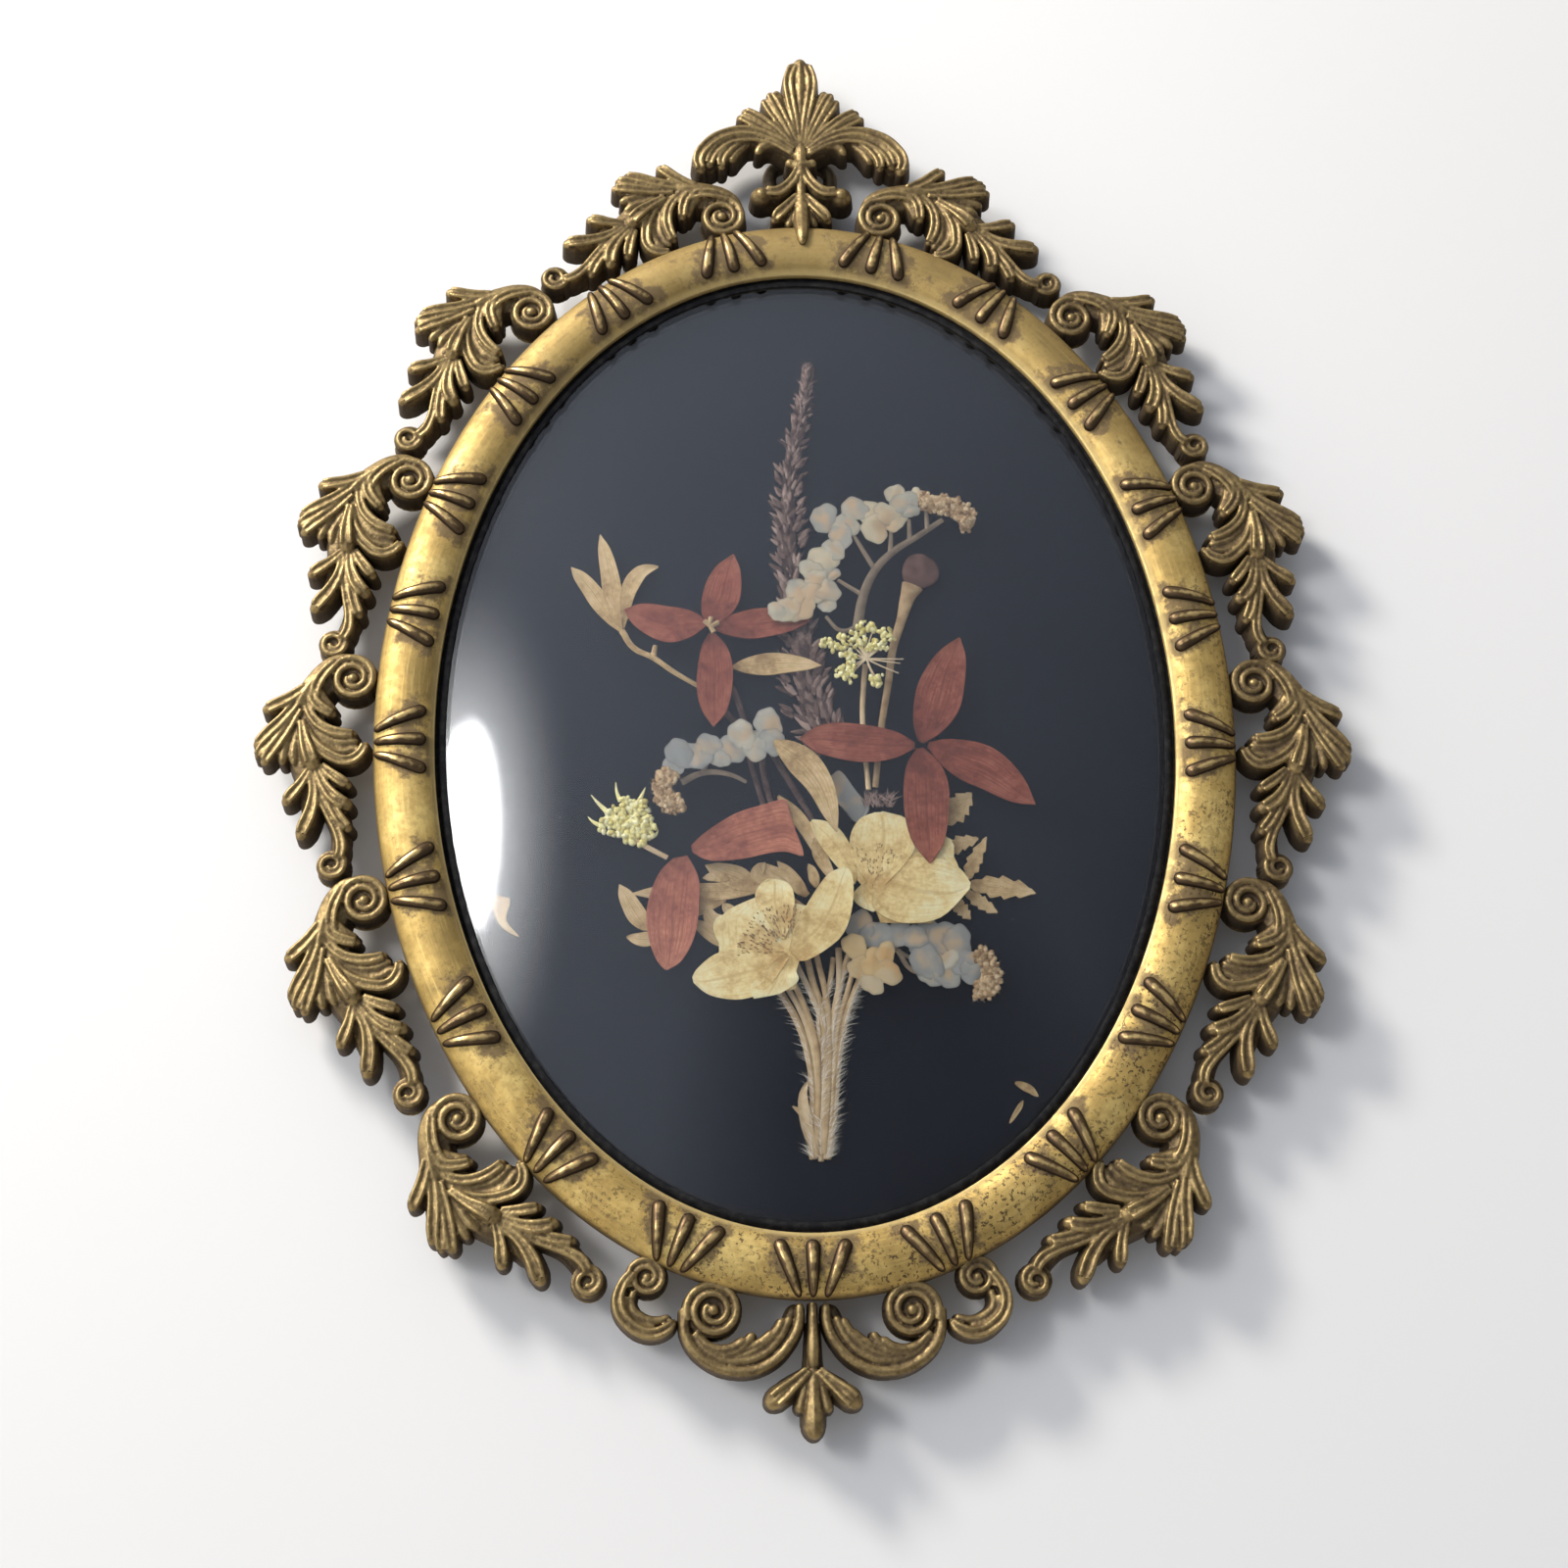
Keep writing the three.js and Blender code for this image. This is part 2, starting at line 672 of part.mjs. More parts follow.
addPressed(
  "pale_leaf_curved",
  [blade([-4.8, -2.4], [3.4, -10.4], 4.4, 0.55), blade([-0.8, -6], [4.6, -17.2], 4.2)],
  5,
  "dryLeaf",
);
addPressed("pale_leaf_thin", [blade([-4.2, -11.6], [3.2, -23.4], 2.4)], 1, "dryLeaf");
addPressed(
  "cream_flower_left",
  [
    rosette([-2.6, -33.6], 3.6),
    blade([-2.6, -34.4], [-5.2, -24.6], 8, 0.6),
    blade([-2.2, -35], [6.2, -23.4], 8, 0.65),
    blade([-2.4, -34], [-12, -31], 7, 0.65),
    blade([-1.6, -34.6], [-16.8, -40.2], 7.4, 0.65),
    blade([-2.6, -33], [-1.4, -41], 9, 0.55),
  ],
  4,
  "creamPetal",
);
addPressed(
  "cream_flower_right",
  [
    rosette([10.6, -23.7], 4),
    blade([10.2, -25], [10.8, -15.8], 8, 0.65),
    blade([9.6, -24.4], [24, -25.6], 9, 0.65),
    blade([11.4, -24.6], [2.6, -18.2], 7, 0.65),
    blade([11, -23], [18, -32], 8, 0.6),
  ],
  2,
  "creamPetal",
);
addPressed("peach_blossom", [rosette([9.4, -35.8], 4.4)], 3, "peachPetal");
addPressed(
  "toothed_leaves",
  [
    strip([[20, -22], [24.1, -25.5], [31, -26.4]], 1),
    kite([25, -25.6], [33.6, -26.8], 3.4),
    kite([22.6, -24], [27, -18.2], 2.4),
    kite([24, -25.2], [27.6, -30], 2.2),
    kite([21, -22.4], [24.6, -10.8], 2.8),
    kite([21.4, -23.4], [23.6, -31], 2.2),
  ],
  0,
  "dryLeaf",
);
addPressed(
  "ferny_leaves",
  [
    strip([[-6, -30], [-13, -27.2], [-22, -26]], 1.4),
    kite([-9, -29.2], [-26.8, -23.4], 2.8),
    kite([-8, -29.6], [-17, -20.6], 3),
    kite([-12, -28], [-26, -29.8], 2.4),
    kite([-8, -29], [-22.4, -33.4], 2.6),
  ],
  0,
  "dryLeaf",
);
addPressed(
  "stem_bundle",
  [
    strip([[-4.2, -40.6], [1, -49], [1.4, -66]], 3),
    strip([[7.6, -39.6], [3, -49], [2.4, -66]], 3),
    blade([0.6, -63], [-3.2, -56.6], 2.2),
  ],
  0,
  "dryStem",
  1.1,
);
addPressed("loose_bit_left", [blade([-45.6, -26.6], [-41.6, -32.8], 2.4)], 0, "dryLeaf");
addPressed("loose_bit_right_upper", [blade([29.4, -54.4], [32.6, -56.4], 1.3)], 0, "dryLeaf");
addPressed("loose_bit_right_lower", [blade([30.4, -57], [28.4, -60.2], 1.1)], 0, "dryLeaf");

export default frame;
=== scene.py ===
import math
import random

import bpy
from mathutils import Matrix, Vector


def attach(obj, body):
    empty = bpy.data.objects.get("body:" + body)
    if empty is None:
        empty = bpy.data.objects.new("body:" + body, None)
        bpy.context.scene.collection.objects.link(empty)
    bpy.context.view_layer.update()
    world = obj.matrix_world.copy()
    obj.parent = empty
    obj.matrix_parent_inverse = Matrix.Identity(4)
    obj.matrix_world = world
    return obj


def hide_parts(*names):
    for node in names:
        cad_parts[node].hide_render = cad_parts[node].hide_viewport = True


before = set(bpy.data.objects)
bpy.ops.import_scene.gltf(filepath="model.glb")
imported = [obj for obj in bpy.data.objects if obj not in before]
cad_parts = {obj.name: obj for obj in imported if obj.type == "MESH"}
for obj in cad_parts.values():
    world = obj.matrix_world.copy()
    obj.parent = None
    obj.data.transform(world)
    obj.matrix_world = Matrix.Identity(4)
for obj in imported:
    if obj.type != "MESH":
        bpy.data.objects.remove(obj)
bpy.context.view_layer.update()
mm = 0.001
dice = random.Random(11)
print("frame loaded,", len(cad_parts), "nodes")


# Small tools

def pick(*objs):
    bpy.ops.object.select_all(action="DESELECT")
    for obj in objs:
        obj.select_set(True)
    bpy.context.view_layer.objects.active = objs[0]


def joinPieces(objs, name):
    pick(*objs)
    if len(objs) > 1:
        bpy.ops.object.join()
    whole = bpy.context.view_layer.objects.active
    whole.name = name
    whole.data.name = name
    return whole


def applyModifier(obj, kind, **settings):
    pick(obj)
    modifier = obj.modifiers.new(kind.title(), kind)
    for key, value in settings.items():
        setattr(modifier, key, value)
    bpy.ops.object.modifier_apply(modifier=modifier.name)


def placeInMesh(obj):
    pick(obj)
    bpy.ops.object.transform_apply(location=True, rotation=True, scale=True)
    return obj


def copyOf(obj, matrix, name="copy"):
    twin = obj.copy()
    twin.data = obj.data.copy()
    twin.name = name
    bpy.context.scene.collection.objects.link(twin)
    twin.data.transform(matrix)
    if matrix.determinant() < 0:
        twin.data.flip_normals()
    return twin


def dropObject(obj):
    bpy.data.objects.remove(obj, do_unlink=True)


def floatAttribute(obj, name, values):
    held = obj.data.attributes.get(name) or obj.data.attributes.new(name, "FLOAT", "POINT")
    held.data.foreach_set("value", values)


def finishPiece(obj, material, nodes, angle=40):
    obj.data.materials.clear()
    obj.data.materials.append(material)
    pick(obj)
    bpy.ops.object.shade_smooth_by_angle(angle=math.radians(angle))
    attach(obj, "root")
    if nodes:
        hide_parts(*nodes)
    return obj


# A smooth run through a few points, at a share of its length
def runAt(points, share):
    place = max(0.0, min(1.0, share)) * (len(points) - 1)
    i = min(int(place), len(points) - 2)
    t = place - i
    a, b, c, d = (Vector(points[max(0, min(len(points) - 1, k))]) for k in (i - 1, i, i + 1, i + 2))
    return 0.5 * (2 * b + (c - a) * t + (2 * a - 5 * b + 4 * c - d) * t ** 2 + (3 * b - a - 3 * c + d) * t ** 3)


# Strokes of (x, y, z, radius) in mm, drawn as the splines of one bevelled curve and turned into a mesh
def strokesToMesh(name, strokes, fine=5, roundness=2):
    bpy.ops.object.select_all(action="DESELECT")
    bpy.ops.curve.primitive_bezier_curve_add()
    wire = bpy.context.object
    wire.data.splines.clear()
    wire.data.dimensions = "3D"
    wire.data.bevel_depth = mm
    wire.data.bevel_resolution = roundness
    wire.data.resolution_u = fine
    wire.data.use_fill_caps = True
    for stroke in strokes:
        spline = wire.data.splines.new("BEZIER")
        spline.bezier_points.add(len(stroke) - 1)
        for knot, (x, y, z, radius) in zip(spline.bezier_points, stroke):
            knot.co = (x * mm, y * mm, z * mm)
            knot.radius = radius
            knot.handle_left_type = "AUTO"
            knot.handle_right_type = "AUTO"
    bpy.ops.object.convert(target="MESH")
    made = bpy.context.object
    made.name = name
    return made


# Scales a piece in height about a level in mm
def flattened(obj, z, share):
    pick(obj)
    bpy.ops.object.mode_set(mode="EDIT")
    bpy.ops.mesh.select_all(action="SELECT")
    bpy.ops.transform.resize(value=(1, 1, share), center_override=(0, 0, z * mm))
    bpy.ops.object.mode_set(mode="OBJECT")
    return obj


# Materials

def newMaterial(name, sockets):
    made = bpy.data.materials.new(name)
    made.use_nodes = True
    shader = made.node_tree.nodes["Principled BSDF"]
    for key, value in sockets.items():
        shader.inputs[key].default_value = value
    return made, shader


def addNode(material, kind, inputs=None, **settings):
    made = material.node_tree.nodes.new("ShaderNode" + kind)
    for key, value in settings.items():
        setattr(made, key, value)
    for key, value in (inputs or {}).items():
        if isinstance(value, bpy.types.NodeSocket):
            material.node_tree.links.new(value, made.inputs[key])
        else:
            made.inputs[key].default_value = value
    return made


# Stops of a place and a colour, or a place and a grey level
def ramp(material, factor, stops):
    made = addNode(material, "ValToRGB", {"Fac": factor})
    band = made.color_ramp
    while len(band.elements) < len(stops):
        band.elements.new(0.5)
    for element, (place, colour) in zip(band.elements, stops):
        element.position = place
        element.color = (*(colour if isinstance(colour, tuple) else grey(colour)), 1)
    return made.outputs["Color"]


def grey(value):
    return (value, value, value)


def mixed(material, factor, first, second, way="MIX"):
    made = addNode(material, "Mix", data_type="RGBA", blend_type=way)
    for index, value in ((0, factor), (6, first), (7, second)):
        if isinstance(value, bpy.types.NodeSocket):
            material.node_tree.links.new(value, made.inputs[index])
        elif index:
            made.inputs[index].default_value = (*value, 1)
        else:
            made.inputs[index].default_value = value
    return made.outputs[2]


def calc(material, kind, first, second=0.0, clamp=False):
    made = addNode(material, "Math", operation=kind, use_clamp=clamp)
    for index, value in ((0, first), (1, second)):
        if isinstance(value, bpy.types.NodeSocket):
            material.node_tree.links.new(value, made.inputs[index])
        else:
            made.inputs[index].default_value = value
    return made.outputs[0]


def plus(material, first, second, clamp=False):
    return calc(material, "ADD", first, second, clamp)


def minus(material, first, second, clamp=False):
    return calc(material, "SUBTRACT", first, second, clamp)


def times(material, first, second):
    return calc(material, "MULTIPLY", first, second)


def objectCoords(material):
    return addNode(material, "TexCoord").outputs["Object"]


def noiseOn(material, coords, scale, detail=3.0, roughness=0.55):
    return addNode(material, "TexNoise", {"Vector": coords, "Scale": scale, "Detail": detail,
                                          "Roughness": roughness}).outputs["Fac"]


def attributeOf(material, name):
    return addNode(material, "Attribute", attribute_name=name).outputs["Fac"]


def bumpOn(material, shader, height, strength, distance):
    made = addNode(material, "Bump", {"Height": height, "Strength": strength, "Distance": distance})
    material.node_tree.links.new(made.outputs["Normal"], shader.inputs["Normal"])


def plug(material, value, shader, socket):
    material.node_tree.links.new(value, shader.inputs[socket])


# Cast border: gold on the ridges, part rubbed brass and part painted highlight; brown in the hollows, part patina and
# part painted shade; painted shade on the walls and towards the right side
def makeCastBrass():
    look = {"gold": (0.256, 0.182, 0.076), "bronze": (0.117, 0.079, 0.035), "brown": (0.054, 0.036, 0.02),
            "wall": (0.07, 0.05, 0.032), "low": 0.0066, "high": 0.0083, "paintedShadeRight": 1.2}
    made, shader = newMaterial("castBrass", {"Metallic": 0.65, "Roughness": 0.4, "Specular IOR Level": 0.3})
    coords = objectCoords(made)
    geometry = addNode(made, "NewGeometry")
    blotch = noiseOn(made, coords, 380, 2)
    fineGrain = noiseOn(made, coords, 1300, 2, 0.65)
    edge = ramp(made, geometry.outputs["Pointiness"], [(0.46, 0), (0.55, 1)])
    place = addNode(made, "SeparateXYZ", {0: coords}).outputs
    risen = addNode(made, "MapRange",
                    {"Value": place[2], "From Min": look["low"], "From Max": look["high"]}).outputs[0]
    # ridges and raised parts turn gold, lower parts brown: part rubbing and patina, part painted highlight and
    # painted shade
    wearAndPaintedLight = plus(made, times(made, edge, 0.55), times(made, risen, 0.45))
    # painted shade: the border is painted darker towards the right, away from the light
    wearAndPaintedLight = minus(made, wearAndPaintedLight, times(made, place[0], look["paintedShadeRight"]))
    wearAndPaintedLight = plus(made, wearAndPaintedLight, times(made, minus(made, plus(made, blotch, fineGrain), 1.0), 0.75), True)
    colour = ramp(made, wearAndPaintedLight, [(0.2, look["brown"]), (0.55, look["bronze"]), (0.92, look["gold"])])
    # painted shade: the walls, which face sideways, are painted dark brown
    up = addNode(made, "SeparateXYZ", {0: geometry.outputs["Normal"]}).outputs[2]
    wall = ramp(made, up, [(0.1, 1), (0.42, 0)])
    colour = mixed(made, wall, colour, look["wall"])
    plug(made, colour, shader, "Base Color")
    rough = ramp(made, wearAndPaintedLight, [(0.1, 0.62), (0.85, 0.43)])
    plug(made, plus(made, rough, times(made, wall, 0.2)), shader, "Roughness")
    bumpOn(made, shader, fineGrain, 0.5, 0.0002)
    return made


# Rim: bright gilt with brushed streaks and rubbing, a painted highlight along the inner edge, brown tarnish round the
# ribs and pits towards the lower right; painted shade towards the top, on the outer edge and on the outer side below
# the band
def makeGilt():
    look = {"bright": (0.54, 0.395, 0.14), "plain": (0.40, 0.272, 0.084), "dull": (0.265, 0.18, 0.058),
            "tarnish": (0.13, 0.09, 0.048), "pit": (0.06, 0.038, 0.02), "paintedDimTop": (0.22, 0.155, 0.065),
            "paintedHighlightGold": (0.56, 0.43, 0.19)}
    made, shader = newMaterial("giltWearAndPaintedLight", {"Metallic": 0.6, "Roughness": 0.4, "Specular IOR Level": 0.3})
    coords = objectCoords(made)
    cloud = noiseOn(made, coords, 110, 3, 0.6)
    mottle = noiseOn(made, coords, 700, 2, 0.6)
    brushed = addNode(made, "CombineXYZ", {0: times(made, attributeOf(made, "around"), 0.09),
                                           1: times(made, attributeOf(made, "inset"), 2.4)}).outputs[0]
    streak = noiseOn(made, brushed, 1.0, 2, 0.6)
    colour = ramp(made, cloud, [(0.34, look["dull"]), (0.48, look["plain"]), (0.64, look["bright"])])
    colour = mixed(made, ramp(made, mottle, [(0.38, 0.5), (0.58, 0)]), colour, look["dull"])
    colour = mixed(made, ramp(made, streak, [(0.54, 0), (0.7, 0.4)]), colour, look["bright"])
    colour = mixed(made, ramp(made, streak, [(0.3, 0.3), (0.42, 0)]), colour, look["tarnish"])
    place = addNode(made, "SeparateXYZ", {0: coords}).outputs
    # painted shade: the rim is painted duller towards the top, a painted dim reflection
    upper = plus(made, times(made, place[1], 6.0), times(made, cloud, 0.5))
    colour = mixed(made, ramp(made, upper, [(0.35, 0), (0.75, 0.6)]), colour, look["paintedDimTop"])
    patch = plus(made, times(made, attributeOf(made, "tarnish"), 0.29), noiseOn(made, coords, 300, 4, 0.7))
    # the stains also spread towards the top
    patch = plus(made, patch, times(made, calc(made, "MAXIMUM", place[1], 0.0), 0.5))
    stain = ramp(made, patch, [(0.63, 0), (0.75, 1)])
    colour = mixed(made, times(made, stain, 0.85), colour, look["tarnish"])
    specks = ramp(made, noiseOn(made, coords, 1500, 2, 0.7), [(0.56, 0), (0.61, 1)])
    lower = minus(made, times(made, place[0], 2.2), times(made, place[1], 2.6))
    pitField = ramp(made, plus(made, noiseOn(made, coords, 95, 2, 0.65), lower), [(0.45, 0.12), (0.8, 0.9)])
    pits = times(made, specks, pitField)
    colour = mixed(made, pits, colour, look["pit"])
    # painted shade: the outer edge and the outer side below the band are painted tarnish-dark
    colour = mixed(made, attributeOf(made, "edge"), colour, look["tarnish"])
    # painted highlight: a bright gold line along the inner edge
    colour = mixed(made, times(made, attributeOf(made, "paintedInnerHighlight"), 0.65), colour, look["paintedHighlightGold"])
    plug(made, colour, shader, "Base Color")
    rough = plus(made, ramp(made, mottle, [(0.3, 0.62), (0.7, 0.46)]), times(made, stain, 0.2))
    plug(made, rough, shader, "Roughness")
    height = plus(made, times(made, mottle, 0.5), times(made, streak, 0.3))
    bumpOn(made, shader, height, 0.35, 0.0002)
    return made


# Rib brass: painted shade, near black, at the foot of each rib, brown sides, and gold along the top, part rubbed gilt
# and part painted highlight
def makeRibBrass():
    look = {"foot": (0.03, 0.019, 0.011), "side": (0.10, 0.062, 0.028), "top": (0.50, 0.35, 0.14)}
    made, shader = newMaterial("ribBrass", {"Metallic": 0.8, "Roughness": 0.36})
    coords = objectCoords(made)
    wearAndPaintedLight = plus(made, attributeOf(made, "rise"), times(made, minus(made, noiseOn(made, coords, 700, 2), 0.5), 0.6),
                True)
    plug(made, ramp(made, wearAndPaintedLight, [(0.4, look["foot"]), (0.84, look["side"]), (1, look["top"])]), shader, "Base Color")
    plug(made, ramp(made, wearAndPaintedLight, [(0.2, 0.6), (1, 0.28)]), shader, "Roughness")
    bumpOn(made, shader, noiseOn(made, coords, 1800, 3), 0.2, 0.0001)
    return made


def makeDarkBrass():
    made, shader = newMaterial("darkBrass", {"Metallic": 0.75, "Roughness": 0.55})
    coords = objectCoords(made)
    plug(made, ramp(made, noiseOn(made, coords, 500, 4), [(0.35, (0.05, 0.036, 0.022)), (0.7, (0.17, 0.12, 0.06))]),
         shader, "Base Color")
    bumpOn(made, shader, noiseOn(made, coords, 2200, 3), 0.3, 0.0001)
    return made


def makeVelvet():
    made, shader = newMaterial("darkVelvet", {"Roughness": 0.95, "Sheen Weight": 0.25, "Sheen Roughness": 0.5,
                                              "Specular IOR Level": 0.1})
    shader.inputs["Sheen Tint"].default_value = (0.45, 0.55, 0.8, 1)
    coords = objectCoords(made)
    nap = noiseOn(made, coords, 900, 2, 0.6)
    cloud = noiseOn(made, coords, 45, 1)
    colour = mixed(made, cloud, (0.0045, 0.006, 0.010), (0.008, 0.0105, 0.017))
    colour = mixed(made, ramp(made, nap, [(0.3, 0.25), (0.7, 0)]), colour, (0.003, 0.004, 0.007))
    dust = addNode(made, "TexVoronoi", {"Vector": coords, "Scale": 330, "Randomness": 1})
    keep = ramp(made, addNode(made, "SeparateColor", {0: dust.outputs["Color"]}).outputs[0],
                [(0.9, 0), (0.92, 1)])
    dot = times(made, ramp(made, dust.outputs["Distance"], [(0.03, 1), (0.06, 0)]), keep)
    colour = mixed(made, times(made, dot, 0.5), colour, (0.3, 0.32, 0.36))
    plug(made, colour, shader, "Base Color")
    return made


def makeLinerBlack():
    made, shader = newMaterial("linerBlack", {"Roughness": 0.75, "Specular IOR Level": 0.1})
    coords = objectCoords(made)
    plug(made, ramp(made, noiseOn(made, coords, 900, 4),
                    [(0.45, (0.006, 0.006, 0.007)), (0.75, (0.022, 0.021, 0.02))]),
         shader, "Base Color")
    bumpOn(made, shader, noiseOn(made, coords, 1500, 3), 0.3, 0.0001)
    return made


def makeCard():
    made, shader = newMaterial("backCard", {"Roughness": 0.9})
    coords = objectCoords(made)
    fibre = noiseOn(made, coords, 1500, 5, 0.7)
    colour = ramp(made, fibre, [(0.35, (0.022, 0.017, 0.014)), (0.7, (0.05, 0.038, 0.03))])
    plug(made, mixed(made, ramp(made, noiseOn(made, coords, 60, 3), [(0.4, 0), (0.7, 0.4)]),
                     colour, (0.075, 0.056, 0.04)), shader, "Base Color")
    bumpOn(made, shader, fibre, 0.35, 0.0002)
    return made


def makeClearGlass():
    return newMaterial("clearGlass", {"Base Color": (1, 1, 1, 1), "Roughness": 0.06, "IOR": 1.46,
                                      "Transmission Weight": 1.0})[0]


# Dry plant looks: a blotchy colour with veins that run along the piece's own length
def makeDryPetal(name, colours, veins=14.0, veinShade=0.5, rough=0.75):
    made, shader = newMaterial(name, {"Roughness": rough, "Specular IOR Level": 0.25})
    coords = objectCoords(made)
    sheet = addNode(made, "TexCoord").outputs["UV"]
    across = addNode(made, "SeparateXYZ", {0: sheet}).outputs[0]
    along = addNode(made, "SeparateXYZ", {0: sheet}).outputs[1]
    blotch = noiseOn(made, coords, 330, 3, 0.62)
    mottle = noiseOn(made, coords, 1200, 2, 0.7)
    tone = plus(made, times(made, blotch, 0.5), times(made, along, 0.2))
    tone = plus(made, tone, times(made, mottle, 0.3))
    colour = ramp(made, tone, [(0.36, colours[0]), (0.5, colours[1]), (0.63, colours[2])])
    wobble = times(made, noiseOn(made, coords, 240, 1), 0.09)
    wave = calc(made, "SINE", times(made, plus(made, across, wobble), veins * 2 * math.pi))
    lines = ramp(made, wave, [(0.55, 0), (0.95, 1)])
    lengthways = addNode(made, "CombineXYZ", {0: times(made, across, 30.0), 1: times(made, along, 2.5)}).outputs[0]
    fibre = ramp(made, noiseOn(made, lengthways, 1.0, 2, 0.65), [(0.36, 1.2 * veinShade), (0.52, 0)])
    colour = mixed(made, fibre, colour, colours[0])
    colour = mixed(made, times(made, lines, veinShade), colour, colours[0])
    middle = calc(made, "ABSOLUTE", minus(made, across, 0.5))
    midrib = ramp(made, middle, [(0.012, 1), (0.035, 0)])
    colour = mixed(made, times(made, midrib, 0.45), colour, colours[0])
    plug(made, colour, shader, "Base Color")
    bumpOn(made, shader, minus(made, mottle, times(made, fibre, 0.4)), 0.4, 0.0002)
    return made


# Thin blossoms: each lobe with its own tone, some warm in the middle, darker along the edge
def makeBlossom(name, pale, cool, warm):
    made, shader = newMaterial(name, {"Roughness": 0.7, "Specular IOR Level": 0.25})
    coords = objectCoords(made)
    blotch = noiseOn(made, coords, 420, 3, 0.62)
    reach = attributeOf(made, "reach")
    tone = plus(made, times(made, attributeOf(made, "tone"), 0.55), times(made, blotch, 0.45))
    colour = mixed(made, ramp(made, tone, [(0.32, 0), (0.6, 1)]), pale, cool)
    heart = minus(made, noiseOn(made, coords, 190, 2, 0.6), times(made, reach, 0.14))
    colour = mixed(made, ramp(made, heart, [(0.4, 0), (0.54, 0.85)]), colour, warm)
    edge = ramp(made, reach, [(0.8, 0), (1, 0.4)])
    colour = mixed(made, edge, colour, tuple(0.5 * share for share in cool))
    plug(made, colour, shader, "Base Color")
    bumpOn(made, shader, noiseOn(made, coords, 800, 2), 0.3, 0.0002)
    return made


def makeDryGrain(name, dark, middle, pale, scale=700):
    made, shader = newMaterial(name, {"Roughness": 0.85, "Specular IOR Level": 0.2})
    coords = objectCoords(made)
    grain = noiseOn(made, coords, scale, 2, 0.65)
    tone = plus(made, times(made, attributeOf(made, "tone"), 0.5), times(made, grain, 0.5))
    plug(made, ramp(made, tone, [(0.25, dark), (0.5, middle), (0.75, pale)]), shader, "Base Color")
    bumpOn(made, shader, grain, 0.4, 0.0002)
    return made


castBrass = makeCastBrass()
giltWearAndPaintedLight = makeGilt()
ribBrass = makeRibBrass()
darkBrass = makeDarkBrass()
velvet = makeVelvet()
linerBlack = makeLinerBlack()
backCard = makeCard()
clearGlass = makeClearGlass()
redPetal = makeDryPetal("redPetal", [(0.14, 0.036, 0.022), (0.27, 0.075, 0.045), (0.38, 0.13, 0.078)], 12, 0.4)
redFaded = makeDryPetal("redFaded", [(0.22, 0.07, 0.044), (0.42, 0.148, 0.092), (0.56, 0.235, 0.145)], 12, 0.4)
creamPetal = makeDryPetal("creamPetal", [(0.58, 0.38, 0.15), (0.82, 0.66, 0.31), (0.88, 0.81, 0.50)], 16, 0.15)
dryLeaf = makeDryPetal("dryLeaf", [(0.34, 0.22, 0.10), (0.58, 0.42, 0.21), (0.70, 0.54, 0.31)], 8, 0.3)
whiteBlossom = makeBlossom("whiteBlossom", (0.55, 0.48, 0.33), (0.35, 0.345, 0.30), (0.52, 0.37, 0.22))
blueBlossom = makeBlossom("blueBlossom", (0.49, 0.46, 0.36), (0.29, 0.297, 0.28), (0.49, 0.36, 0.22))
peachBlossom = makeBlossom("peachBlossom", (0.56, 0.41, 0.20), (0.52, 0.43, 0.28), (0.53, 0.33, 0.14))
spikeGrain = makeDryGrain("spikeGrain", (0.05, 0.028, 0.024), (0.16, 0.105, 0.088), (0.34, 0.25, 0.21))
budSkin = makeDryGrain("budSkin", (0.05, 0.024, 0.018), (0.105, 0.055, 0.044), (0.2, 0.12, 0.095), 400)
umbelBead = makeDryGrain("umbelBead", (0.60, 0.51, 0.16), (0.84, 0.77, 0.34), (0.90, 0.87, 0.56), 900)
curlFuzz = makeDryGrain("curlFuzz", (0.26, 0.16, 0.08), (0.48, 0.33, 0.18), (0.66, 0.52, 0.33), 900)
dryStem = makeDryGrain("dryStem", (0.30, 0.195, 0.10), (0.56, 0.41, 0.23), (0.74, 0.61, 0.41), 500)
greyStem = makeDryGrain("greyStem", (0.15, 0.115, 0.08), (0.27, 0.21, 0.145), (0.44, 0.35, 0.24), 500)
paleHair = makeDryGrain("paleHair", (0.62, 0.54, 0.41), (0.76, 0.69, 0.56), (0.86, 0.82, 0.72), 500)
fleckBrown = makeDryGrain("fleckBrown", (0.34, 0.20, 0.11), (0.46, 0.30, 0.165), (0.56, 0.39, 0.22), 500)
print("materials ready")


# Cast border

border = {"reliefZ": 7.3, "webZ": 5.9, "tip": 0.5, "backZ": 4.0, "discZ": 7.2,
          "voxel": 0.17, "soften": 0.5, "under": -0.12, "draft": 0.28, "keep": 0.34,
          "broad": 0.9, "fine": 0.36, "fineAside": 0.5, "fineLift": 0.88,
          "roundEnd": ((0.45, 0.1, 0.78), (0.8, 0.3, 0.3)),      # ahead, down and radius, as shares of the radius
          "turnSteps": 14, "wind": 0.85, "eye": 0.22, "thinner": 0.25}


# A rolled end: a raised bead that winds in to a knob
def scrollStrokes(x, y, radius, start, turns, bead, way=1, lift=0.25):
    steps = int(border["turnSteps"] * turns)
    stroke = []
    for i in range(steps + 1):
        share = i / steps
        angle = math.radians(start) + way * share * turns * 2 * math.pi
        reach = radius * (1 - share) ** border["wind"] + border["eye"] * radius * share
        stroke.append((x + reach * math.cos(angle), y + reach * math.sin(angle),
                       border["reliefZ"] + lift, bead * (1 - border["thinner"] * share)))
    return stroke


def discPiece(x, y, radius):
    depth = (border["discZ"] - border["backZ"]) * mm
    bpy.ops.mesh.primitive_cylinder_add(vertices=40, radius=radius * mm, depth=depth,
                                        location=(x * mm, y * mm, border["backZ"] * mm + depth / 2))
    return placeInMesh(bpy.context.object)


